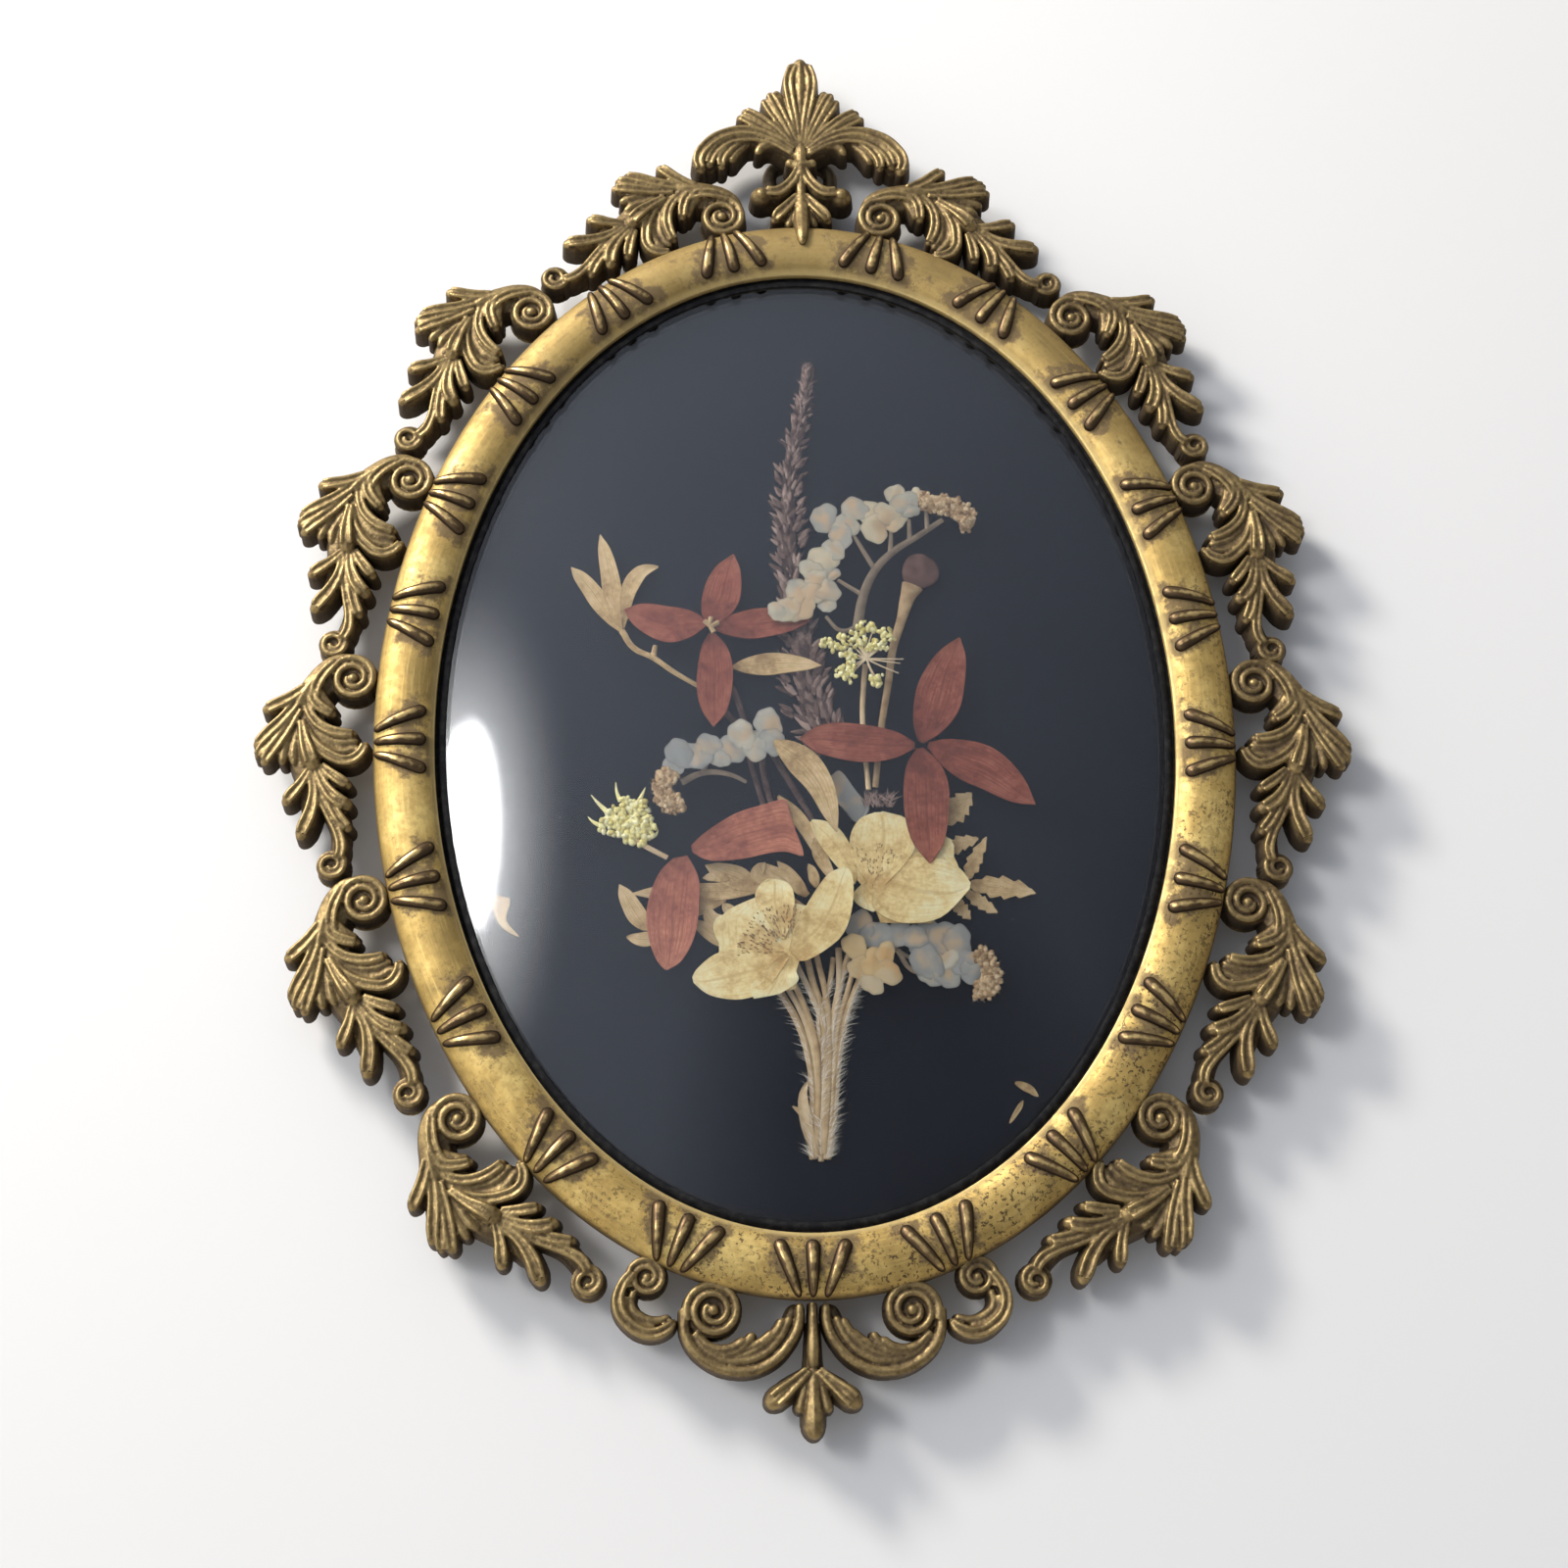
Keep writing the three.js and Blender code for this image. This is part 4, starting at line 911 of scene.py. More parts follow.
inside = {"gap": 0.3, "linerShow": 1.6, "ledge": 0.7, "ledgeZ": 5.5, "linerBackZ": 4.2, "linerFrontZ": 6.7,
          "lipZ": 7.3, "lipFoot": 0.75, "lipTop": 0.45, "lipRound": 0.1, "lipDrop": 0.35, "linerSteps": 256,
          "glassEdgeZ": 5.8, "glassThickness": 1.2, "glassSeat": 0.05, "dome": 8.0, "glassSides": 192,
          "glassSteps": 24,
          "coverZ": 1.2, "coverSides": 160, "coverEdge": 0.25,
          "loopHalf": 4.85, "loopLow": 91.05, "loopHigh": 99.95, "loopZ": 2.4, "loopBar": 1.15, "loopCorner": 1.4,
          "loopDeeper": 1.1}


def makeLiner():
    outer = rim["skirtInset"] + rim["skirtWall"] + inside["gap"]
    show = rim["band"] + inside["linerShow"]
    soft = inside["lipRound"]
    backZ, frontZ, lipZ, ledgeZ = (inside[key] for key in ("linerBackZ", "linerFrontZ", "lipZ", "ledgeZ"))
    return ovalRing("blackLiner", [
        (outer, backZ), (outer, frontZ), (rim["band"] + inside["gap"], frontZ),
        (rim["band"] + inside["lipFoot"], lipZ - soft), (show - inside["lipTop"], lipZ), (show - soft, lipZ - soft),
        (show, lipZ - inside["lipDrop"]), (show, ledgeZ), (show + inside["ledge"], ledgeZ),
        (show + inside["ledge"], backZ)], inside["linerSteps"])


def makeGlass():
    bpy.ops.object.select_all(action="DESELECT")
    bpy.ops.mesh.primitive_cylinder_add(vertices=inside["glassSides"], radius=1, depth=1, end_fill_type="TRIFAN")
    dome = bpy.context.object
    bpy.ops.object.mode_set(mode="EDIT")
    bpy.ops.mesh.select_mode(type="EDGE")      # before the spokes are picked, so that only they are cut
    bpy.ops.mesh.select_all(action="DESELECT")
    bpy.ops.object.mode_set(mode="OBJECT")
    for edge in dome.data.edges:      # the spokes of both fans
        ends = [math.hypot(*dome.data.vertices[k].co.xy) for k in edge.vertices]
        edge.select = min(ends) < 0.01
    bpy.ops.object.mode_set(mode="EDIT")
    bpy.ops.mesh.subdivide(number_cuts=inside["glassSteps"])
    bpy.ops.object.mode_set(mode="OBJECT")
    reachX = rim["halfWidth"] - rim["band"] - inside["linerShow"] + inside["glassSeat"]
    reachY = rim["halfHeight"] - rim["band"] - inside["linerShow"] + inside["glassSeat"]
    for vertex in dome.data.vertices:
        x, y, z = vertex.co
        height = inside["glassEdgeZ"] + inside["dome"] * (1 - x * x - y * y)
        height += inside["glassThickness"] if z > 0 else 0
        vertex.co = (x * reachX * mm, y * reachY * mm, height * mm)
    dome.name = "domedGlass"
    return dome


def makeCover():
    inset = rim["skirtInset"] + rim["skirtWall"] + inside["gap"]
    bpy.ops.object.select_all(action="DESELECT")
    bpy.ops.mesh.primitive_cylinder_add(vertices=inside["coverSides"], radius=mm, depth=inside["coverZ"] * mm,
                                        location=(0, 0, inside["coverZ"] * mm / 2))
    cover = bpy.context.object
    cover.scale = (rim["halfWidth"] - inset, rim["halfHeight"] - inset, 1)
    placeInMesh(cover)
    cover.name = "backCard"
    applyModifier(cover, "BEVEL", width=inside["coverEdge"] * mm, segments=2, limit_method="ANGLE")
    return cover


def makeLoop():
    half, low, high, z, bar = (inside[key] for key in ("loopHalf", "loopLow", "loopHigh", "loopZ", "loopBar"))
    corners = [(-half, low), (half, low), (half, high), (-half, high)]
    run = []
    for i, (x, y) in enumerate(corners):
        nextX, nextY = corners[(i + 1) % 4]
        side = Vector((nextX - x, nextY - y)).normalized() * inside["loopCorner"]
        knots = ((x + side.x, y + side.y), ((x + nextX) / 2, (y + nextY) / 2), (nextX - side.x, nextY - side.y))
        run += [(knotX, knotY, z, bar) for knotX, knotY in knots]
    return flattened(strokesToMesh("hangingLoop", [run + run[:1]], 6, 4), z, inside["loopDeeper"])


finishPiece(makeLiner(), linerBlack, ["liner"])
finishPiece(makeGlass(), clearGlass, ["glass"])
finishPiece(makeCover(), backCard, ["back_cover"])
finishPiece(makeLoop(), darkBrass, ["hanging_loop"])
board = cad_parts["backing_board"]
board.data.materials.clear()
board.data.materials.append(velvet)
print("liner, glass, back and loop made")


# Pressed pieces

pressed = {"boardZ": 4.2, "layer": 0.75, "lift": 0.2, "thickness": 0.16,
           "petalTaper": (0.14, 0.68, 0.98, 0.96, 0.66, 0.03), "leafTaper": (0.14, 0.7, 1, 0.92, 0.62, 0.03)}


def layerZ(layer):
    return pressed["boardZ"] + layer * pressed["layer"] + pressed["lift"]


# A thin sheet between two edges that run from base to tip, with a little cup and ripple
def edgeSheet(leftEdge, rightEdge, z, cup=0.15, ripple=0.12, cells=(12, 18)):
    bpy.ops.mesh.primitive_grid_add(x_subdivisions=cells[0], y_subdivisions=cells[1], size=1)
    sheet = bpy.context.object
    left = [(x, y, 0) for x, y in leftEdge]
    right = [(x, y, 0) for x, y in rightEdge]
    phase = dice.uniform(0, 6)
    for vertex in sheet.data.vertices:
        across, share = vertex.co.x * 2, vertex.co.y + 0.5
        place = runAt(left, share).lerp(runAt(right, share), (across + 1) / 2)
        wave = math.sin(7 * share + phase) * across + 0.6 * math.sin(13 * share + 2 * phase) * across * across
        place.z = z + cup * across * across + ripple * wave
        vertex.co = place * mm
    return sheet


# The same along a spine, with half widths from base to tip and teeth along the edges
def petalSheet(spine, widths, z, cup=0.15, ripple=0.12, cells=(10, 18), teeth=0):
    path = [(x, y, 0) for x, y in spine]
    spread = [(width, 0, 0) for width in widths]
    phase = dice.uniform(0, 6)
    edges = ([], [])
    steps = cells[1]
    for i in range(steps + 1):
        share = i / steps
        middle = runAt(path, share)
        ahead = runAt(path, share + 0.02) - runAt(path, share - 0.02)
        out = Vector((ahead.y, -ahead.x, 0)).normalized()
        width = max(runAt(spread, share).x, 0.04)
        for edge, side in zip(edges, (-1, 1)):
            reach = width * (1 + 0.06 * math.sin(8 * share + phase + side))
            if teeth:
                reach *= 0.75 + 0.55 * (1 - (share * teeth + 0.3 * side) % 1)
            edge.append((middle.x + out.x * side * reach, middle.y + out.y * side * reach))
    return edgeSheet(*edges, z, cup, ripple, cells)


# Joins sheets into one thin piece
def sheetPiece(name, sheets):
    piece = joinPieces(sheets, name)
    applyModifier(piece, "SOLIDIFY", thickness=pressed["thickness"] * mm, offset=0)
    return piece


def toned(obj, tone):
    floatAttribute(obj, "tone", [tone] * len(obj.data.vertices))
    return obj


# Flat stems that thin out towards their ends
def stemPiece(runs, z, radius, thin=0.7, flat=0.7, tone=0.5):
    strokes = [[(x, y, z, radius * (1 - (1 - thin) * i / (len(run) - 1))) for i, (x, y) in enumerate(run)]
               for run in runs]
    return toned(flattened(strokesToMesh("stem", strokes, 4, 1), z, flat), tone)


# Many small copies of one pattern: each a place, a heading, three sizes and a tone
def scatter(pattern, seats, name):
    made = []
    for (x, y, z), heading, (sizeX, sizeY, sizeZ), tone in seats:
        spot = (Matrix.Translation((x * mm, y * mm, z * mm)) @ Matrix.Rotation(heading, 4, "Z")
                @ Matrix.Rotation(dice.uniform(-0.15, 0.15), 4, "Y")
                @ Matrix.Diagonal((sizeX * mm, sizeY * mm, sizeZ * mm, 1)))
        made.append(toned(copyOf(pattern, spot), tone))
    return joinPieces(made, name)


def smallBall(sides=7, rings=5):
    bpy.ops.mesh.primitive_uv_sphere_add(segments=sides, ring_count=rings, radius=1)
    return bpy.context.object


# Hairs as thin three-sided spikes, each a root and a heading
def hairPiece(roots, length, thick):
    bpy.ops.mesh.primitive_cone_add(vertices=3, radius1=1, radius2=0, depth=1, end_fill_type="NOTHING",
                                    location=(0, 0, 0.5))
    pattern = placeInMesh(bpy.context.object)
    pattern.data.transform(Matrix.Rotation(math.pi / 2, 4, "Y"))
    seats = [((x, y, z), heading, (length * dice.uniform(0.45, 1.15), thick, thick), dice.uniform(0.5, 1))
             for x, y, z, heading in roots]
    hairs = scatter(pattern, seats, "hairs")
    dropObject(pattern)
    return hairs


redFlowers = {
    "red_flower_upper": {"layer": 2, "petals": [
        ([(-14.5, 15.6), (-12.9, 20.6), (-10.9, 27.4)], 2.8), ([(-15, 15.9), (-21.2, 15.9), (-27.5, 18.1)], 2.9),
        ([(-13.7, 15.1), (-7.2, 16), (0.6, 16.4)], 2.4), ([(-14.2, 14.3), (-13.7, 7), (-13.9, -0.8)], 2.8)]},
    "red_flower_right": {"layer": 3, "petals": [
        ([(17.1, -3.4), (20, 4.2), (23.4, 13.5)], 3.4), ([(16.1, -4), (7, -3.5), (-1, -2.9)], 3.1),
        ([(16.9, -4.4), (17.6, -12.4), (17.9, -22.3)], 3.5), ([(18.1, -3.9), (25.8, -7.2), (33.7, -13.2)], 3.2)]},
}


def makeRedFlower(name, shape):
    z = layerZ(shape["layer"])
    sheets = []
    for i, (spine, half) in enumerate(shape["petals"]):
        widths = [half * share for share in pressed["petalTaper"]]
        sheets.append(petalSheet(spine, widths, z + 0.05 * i, 0.2, 0.1))
    return sheetPiece(name, sheets)


for flowerName, flowerShape in redFlowers.items():
    finishPiece(makeRedFlower("petals_" + flowerName, flowerShape), redPetal, [flowerName])

lowerRed = [
    edgeSheet([(-17.1, -19.6), (-15.2, -17.6), (-10.6, -14.5), (-6, -13), (-3.4, -12.4), (-2.9, -13.6), (-3, -15)],
              [(-16.9, -20.6), (-14.3, -21.9), (-9.7, -21.6), (-6, -20.7), (-3.2, -20.4), (-0.6, -21), (-1.8, -17.6)],
              layerZ(2) + 0.1, 0.25, 0.12),
    edgeSheet([(-19.6, -21.4), (-21.9, -23.9), (-23.5, -28.9), (-23.2, -33.3), (-22, -36.8), (-20.7, -38.2)],
              [(-17.7, -21), (-16, -24.5), (-15.9, -28.9), (-16.5, -33.2), (-18.3, -36.8), (-20.3, -38.2)],
              layerZ(2), 0.25, 0.1)]
finishPiece(sheetPiece("petals_red_flower_lower", lowerRed), redFaded, ["red_flower_lower"])

# Each petal as its two edges from base to tip
creamFlowers = {
    "cream_flower_right": {
        "layer": 2, "centre": (9.7, -25.4), "sweep": (-10, 120), "dots": (1.2, 6.4), "flecks": 110,
        "petals": [
        ([(10.5, -31.2), (8.7, -26.7), (5.9, -22.3), (7.8, -17.5)],
         [(17.9, -31.2), (22.2, -26.2), (21, -20.4), (15.1, -16.8)]),
        ([(13.6, -22.6), (17.6, -19.1), (20, -17.9), (21.2, -18.6)],
         [(13.9, -23.4), (18.3, -23.6), (21.1, -22.6), (21.6, -19.4)]),
        ([(7.2, -24.5), (6.7, -20.5), (4.8, -17.1), (2.7, -15.7), (0.7, -15.4)],
         [(6.8, -25.4), (4.7, -23.2), (2.6, -20.5), (1.2, -18.1), (0.4, -15.9)]),
        ([(9.3, -26.2), (6.9, -22.3), (6.2, -18.5), (7.6, -15.5), (10, -14.3)],
         [(10.6, -26.2), (14.3, -22.3), (16.1, -18.5), (14.5, -15.2), (11.2, -14.3)]),
        ([(8.5, -25), (6.6, -26.8), (6.9, -28.2), (8.4, -29.2)],
         [(9.4, -25.4), (9.6, -27.4), (10.4, -28.9), (9.4, -29.6)]),
        ([(9.8, -24.5), (14.9, -21.6), (19.2, -21.6), (22.3, -23.1), (23.8, -25.2)],
         [(9.3, -26.7), (9.7, -29.4), (13.8, -31.3), (19.3, -30.4), (23.6, -26.2)])]},
    "cream_flower_left": {
        "layer": 4, "centre": (-3.2, -36), "sweep": (15, 185), "dots": (2, 7.2), "flecks": 240,
        "petals": [
        ([(-9.7, -42.6), (-13.6, -40.6), (-13, -35.8), (-12.6, -30.6), (-6.9, -27.4)],
         [(-1.9, -41.4), (-1.4, -37.2), (2.3, -34.4), (3, -30), (-1.9, -28.8)]),
        ([(-3.7, -36), (-8.8, -35.8), (-12.4, -35.2), (-13.8, -32.6), (-13.3, -30.9)],
         [(-3.7, -35.3), (-6.8, -32.3), (-8.4, -31.1), (-10.9, -30.4), (-12.9, -30.5)]),
        ([(-3.9, -34.1), (-6.6, -30.6), (-7.8, -27.8), (-7, -25.8), (-5.7, -25.1)],
         [(-3.5, -34.1), (-2.4, -31), (-2.1, -28), (-2.8, -25.9), (-4.5, -25)]),
        ([(-3.5, -36.2), (-8.4, -35.6), (-13, -36.2), (-16, -38.4), (-16.8, -39.8)],
         [(-3, -37.1), (-6, -41.3), (-9.7, -43), (-14.2, -42.4), (-16.6, -40.6)]),
        ([(-3.5, -36.2), (-6.6, -38.8), (-8.4, -41.2), (-8, -43)],
         [(-2.6, -36.8), (-2, -38.8), (-1.7, -40.4), (-4.2, -42.2)]),
        ([(-3, -35.8), (-1.8, -31.9), (0.4, -27.8), (2.9, -24.3), (5.2, -23.3)],
         [(-2.5, -36.3), (-0.6, -37.4), (4.3, -34.1), (6.1, -30.2), (6.5, -25.6), (5.9, -23.6)])]},
}


def makeCreamFlower(name, shape):
    z = layerZ(shape["layer"])
    sheets = [edgeSheet(left, right, z + 0.1 * i, 0.12, 0.16, (16, 20))
              for i, (left, right) in enumerate(shape["petals"])]
    return sheetPiece(name, sheets)


# Brown flecks that point out from the middle of a flower
def makeFlecks(name, shape):
    z = layerZ(shape["layer"]) + 0.35
    x, y = shape["centre"]
    near, far = shape["dots"]
    low, high = shape["sweep"]
    seats = []
    for k in range(shape["flecks"]):
        angle = math.radians(dice.uniform(low, high))
        reach = near + (far - near) * dice.random() ** 0.8
        size = dice.uniform(0.12, 0.34)
        seats.append(((x + reach * math.cos(angle), y + reach * math.sin(angle), z), angle, (size, 0.09, 0.2),
                      dice.random()))
    pattern = smallBall(5, 3)
    flecks = scatter(pattern, seats, name)
    dropObject(pattern)
    return flecks


for flowerName, flowerShape in creamFlowers.items():
    finishPiece(makeCreamFlower("petals_" + flowerName, flowerShape), creamPetal, [flowerName])
    finishPiece(makeFlecks("flecks_" + flowerName, flowerShape), fleckBrown, [], 60)
print("petals laid")

leafSheets = {
    "leaf_sprig": {"layer": 1, "leaves": [
        ([(-27.9, 14.8), (-32.3, 21.1), (-35.8, 25.5)], 1.45), ([(-28.4, 15.4), (-29.7, 23), (-31.5, 31)], 1.5),
        ([(-27.7, 15.4), (-27, 21.5), (-25.3, 24.6), (-22.5, 25.6)], 1.3)],
        "stems": [[(-27.9, 15), (-26.1, 12.2), (-23.1, 10.6), (-20.1, 8.4), (-16.4, 6.1)],
                  [(-23.1, 10.6), (-22.8, 12.6)]]},
    "pale_leaf_straight": {"layer": 1, "leaves": [([(-11.2, 9.1), (-4.8, 9.7), (2.4, 9.5)], 1.7)]},
    "pale_leaf_curved": {"layer": 5, "leaves": [([(-4.9, -3.8), (-1.4, -6.6), (2.1, -11.4), (4.2, -18)], 2.3)]},
    "pale_leaf_thin": {"layer": 1,
                       "leaves": [([(-4.3, -11.5), (-0.5, -16.2), (3, -22.6)], 1.1),
                                  ([(1, -18), (2, -21), (4, -25)], 1)]},
    "toothed_leaves": {"layer": 0, "teeth": 5, "leaves": [
        ([(23.4, -25), (28.6, -25.2), (33.6, -26.2)], 1.5), ([(23.2, -24.3), (24.6, -21.4), (26.6, -17.6)], 1.0),
        ([(23.2, -25.8), (25.4, -27.6), (27.8, -29.2)], 0.95), ([(21, -27), (22.6, -28.7), (23.8, -30.2)], 0.95),
        ([(19.6, -20.4), (22.6, -18.6), (25.4, -17.8)], 1.1), ([(20, -15.6), (22.4, -13), (24.6, -10.6)], 1.7)],
        "stems": [[(18, -24), (21, -24.8), (24, -25)]]},
    "ferny_leaves": {"layer": 0, "wider": 1.35, "leaves": [
        ([(-5.2, -25.2), (-11.6, -25.9), (-19.9, -26.2), (-25.8, -26.4)], 1.0),
        ([(-7, -25.4), (-10.7, -23.9), (-15, -22)], 1.3),
        ([(-11.4, -24.2), (-13.4, -23.8), (-15.4, -24)], 0.6), ([(-5, -25), (-7.4, -23.4), (-6.2, -21.6)], 0.8),
        ([(-22.8, -32), (-25.4, -29), (-27.6, -25)], 1.1), ([(-21.6, -33.2), (-24, -33.3), (-26.4, -33)], 0.8),
        ([(-10, -33.6), (-13.4, -32.8), (-16.8, -30.4)], 1.0), ([(-10, -31.6), (-13.6, -30.6), (-14.9, -28.2)], 0.9),
        ([(-9.4, -30.4), (-11.2, -29.2), (-12.4, -27.8)], 0.7), ([(0.2, -26.4), (-4.2, -23.7), (-7.4, -21.8)], 0.9),
        ([(-0.2, -26.8), (-1.9, -24.5), (-4.4, -21.4)], 0.8), ([(1.2, -25.4), (0.9, -23.6), (0.2, -21.8)], 0.6),
        ([(-12, -27.4), (-17, -29), (-21.4, -33)], 0.8)],
        "stems": [[(0, -29), (-4, -26.4), (-9, -26)]]},
    "loose_bit_left": {"layer": 0, "taper": (0.75, 1, 0.8, 0.5, 0.3, 0.05),
                       "leaves": [([(-44.5, -26.9), (-44.9, -28.6), (-44.3, -31), (-42.1, -32.9)], 1.3)]},
    "loose_bit_right_upper": {"layer": 0, "leaves": [([(29.4, -54.4), (31.2, -55.2), (32.6, -56.4)], 0.6)]},
    "loose_bit_right_lower": {"layer": 0, "leaves": [([(30.4, -57), (29.6, -58.4), (28.4, -60.2)], 0.36)]},
}


def makeLeafSheets(name, shape):
    z = layerZ(shape["layer"])
    sheets = []
    for i, (spine, half) in enumerate(shape["leaves"]):
        taper = shape.get("taper", pressed["leafTaper"])
        widths = [half * shape.get("wider", 1) * share for share in taper]
        sheets.append(petalSheet(spine, widths, z + 0.03 * (i % 4), 0.12, 0.08, (6, 20), shape.get("teeth", 0)))
    piece = sheetPiece(name, sheets)
    if "stems" in shape:
        piece = joinPieces([piece, stemPiece(shape["stems"], z, 0.5)], name)
    return piece


for leafName, leafLayout in leafSheets.items():
    finishPiece(makeLeafSheets("dry_" + leafName, leafLayout), dryLeaf, [leafName])
print("leaves laid")


# A thin round lobe with an uneven edge
def lobePattern():
    bpy.ops.mesh.primitive_uv_sphere_add(segments=32, ring_count=12, radius=1)
    lobe = bpy.context.object
    phases = [dice.uniform(0, 6.3) for k in range(3)]
    reaches = []
    for vertex in lobe.data.vertices:
        x, y, z = vertex.co
        angle = math.atan2(y, x)
        edge = 1 + 0.1 * math.sin(2 * angle + phases[0]) + 0.07 * math.sin(3 * angle + phases[1])
        edge += 0.04 * math.sin(7 * angle + phases[2])
        crumple = 0.1 * math.sin(3 * x + phases[0]) + 0.08 * math.sin(5 * y + phases[1])
        vertex.co = (x * edge, y * edge, 0.07 * z + 0.7 * crumple)
        reaches.append(math.hypot(x, y))
    floatAttribute(lobe, "reach", reaches)
    return lobe


# Lobes of (x, y, radius, tone), laid over each other
def lobePiece(lobes, z, name, swell=1.24):
    patterns = [lobePattern() for k in range(4)]
    made = []
    for i, (x, y, radius, tone) in enumerate(lobes):
        spot = (Matrix.Translation((x * mm, y * mm, (z + 0.08 * (i % 4)) * mm))
                @ Matrix.Rotation(dice.uniform(0, 6.3), 4, "Z") @ Matrix.Rotation(dice.uniform(-0.09, 0.09), 4, "Y")
                @ Matrix.Diagonal((swell * radius * mm, 0.92 * swell * radius * mm, mm, 1)))
        made.append(toned(copyOf(patterns[i % 4], spot), tone))
    for pattern in patterns:
        dropObject(pattern)
    return joinPieces(made, name)


curlLook = {"core": 0.42, "flat": 0.35, "buds": 150, "hairFrom": 0.3, "hairLong": 0.75, "hairThick": 0.05}


# A rolled, hairy end: small buds crowded along a curve
def makeCurl(path, width, z):
    run = [(x, y, 0) for x, y in path]
    body = strokesToMesh("curl", [[(x, y, z, width * curlLook["core"]) for x, y in path]], 5, 2)
    seats = []
    roots = []
    for k in range(curlLook["buds"]):
        share = (k + dice.random()) / curlLook["buds"]
        ahead = (runAt(run, share + 0.02) - runAt(run, share - 0.02)).normalized()
        out = Vector((ahead.y, -ahead.x, 0))
        aside = dice.uniform(-0.5, 0.5)
        place = runAt(run, share) + out * aside * width
        size = dice.uniform(0.26, 0.46)
        seats.append(((place.x, place.y, z + 0.5 * (1 - 3 * aside * aside) * dice.uniform(0.6, 1)),
                      dice.uniform(0, 3), (size, size * 1.25, size * 0.7), dice.random()))
        if abs(aside) > curlLook["hairFrom"]:
            heading = math.atan2(out.y * aside, out.x * aside) + dice.uniform(-0.6, 0.6)
            roots += [(place.x, place.y, z + 0.2, heading), (place.x, place.y, z + 0.3, heading + 0.4)]
    pattern = smallBall()
    parts = [toned(flattened(body, z, curlLook["flat"]), 0.4), scatter(pattern, seats, "buds"),
             hairPiece(roots, curlLook["hairLong"], curlLook["hairThick"])]
    dropObject(pattern)
    return joinPieces(parts, "curl")


sprays = {
    "forget_me_not_upper": {
        "layer": 3, "look": whiteBlossom, "slot": "white_petal", "width": 3.3, "stemRadius": 0.8,
        "lobes": [
        (3, 33.4, 1.9, 0.75), (7.8, 34.9, 1.75, 0.6), (5.6, 30.3, 1.7, 0.7), (4.5, 28, 1.5, 0.5),
        (6.4, 32.3, 1.7, 0.5), (9.9, 34.3, 1.7, 0.15), (10.8, 31.6, 1.9, 0.05), (12.8, 34, 1.7, 0.2),
        (14, 33.1, 1.6, 0.05), (14, 37.6, 1.3, 0.3), (15.6, 36, 1.8, 0.6), (16.4, 34.6, 1.1, 0.6),
        (17.4, 37.8, 0.8, 0.25), (2.7, 26.2, 2, 0.2), (0.9, 24.6, 1.5, 0.4), (1.6, 23.1, 1.4, 0.4),
        (4, 23.9, 1.1, 0.5), (-1.2, 21, 1.7, 0.5), (1, 20.5, 1.7, 0.4), (3.2, 21.1, 1.7, 0.5),
        (3.3, 18.7, 1.1, 0.5), (-0.3, 18.6, 1.7, 0.15), (-2.7, 18, 1.7, 0.3), (-4.3, 17.5, 1.3, 0.35),
        (-1.8, 17.1, 1.1, 0.3)],
        "stems": [[(7.9, 15.2), (8.9, 20.5), (10.8, 24.8), (13.7, 28), (17.5, 30.6), (21.4, 33.4)]],
        "twigs": [[(10.5, 25.3), (8.9, 28.2), (7.6, 30.6)], [(13.2, 27.8), (13.4, 31.8)], [(16.2, 30), (16.2, 33.4)],
                  [(19, 31.8), (18.9, 35)], [(8.8, 20.6), (5, 23.1)], [(8.1, 15.4), (5.4, 14.7), (3.1, 17)]],
        "curl": [(17.9, 36.2), (20.6, 36.1), (23, 35.6), (24.8, 34.4), (25, 33), (24, 32.6)]},
    "forget_me_not_left": {
        "layer": 4, "look": blueBlossom, "slot": "blue_petal", "width": 2.9, "stemRadius": 0.55,
        "lobes": [
        (-5.8, -0.8, 1.9, 0.5), (-7.9, -4.4, 1.9, 0.4), (-5.3, -3.8, 1.8, 0.6), (-9.7, -2.8, 1.9, 0.3),
        (-11.4, -5.1, 1.8, 0.6), (-14.4, -4.6, 1.7, 0.7), (-16.2, -6, 1.9, 0.75), (-18.9, -5.8, 1.9, 0.8),
        (-19.8, -7.4, 1.6, 0.6), (-13, -6.4, 1.3, 0.5)],
        "stems": [[(-18.6, -10.1), (-15.6, -8.6), (-11.5, -8.8), (-9, -10)]],
        "twigs": [[(-15.6, -8.6), (-14.6, -6.6)]],
        "curl": [(-20.1, -8.4), (-21.3, -10.4), (-21.1, -12.6), (-19.9, -13.5), (-18.6, -13)]},
    "forget_me_not_lower": {
        "layer": 1, "look": blueBlossom, "slot": "blue_petal", "width": 3.0, "stemRadius": 0.5,
        "lobes": [
        (7.6, -31.6, 1.9, 0.7), (10, -33, 2, 0.75), (12.8, -32.7, 1.8, 0.8), (15.4, -33.2, 1.7, 0.85),
        (17.2, -33.4, 2.2, 0.8), (19.8, -33.3, 2.1, 0.8), (21.7, -33.9, 2, 0.85), (17.1, -36.8, 2.2, 0.7),
        (19.2, -36.3, 2, 0.1), (20, -38.6, 1.8, 0.6), (22.4, -36.8, 2, 0.7), (23.6, -38, 1.6, 0.6),
        (17.6, -38.6, 1.6, 0.6)],
        "stems": [[(8.6, -33), (12.2, -34.6), (15.4, -36.6)]], "twigs": [[(13, -35), (15, -38), (17, -38.4)]],
        "curl": [(24.2, -35.6), (26, -37), (26.4, -39.2), (25.5, -40.9), (24, -40.9)]},
}


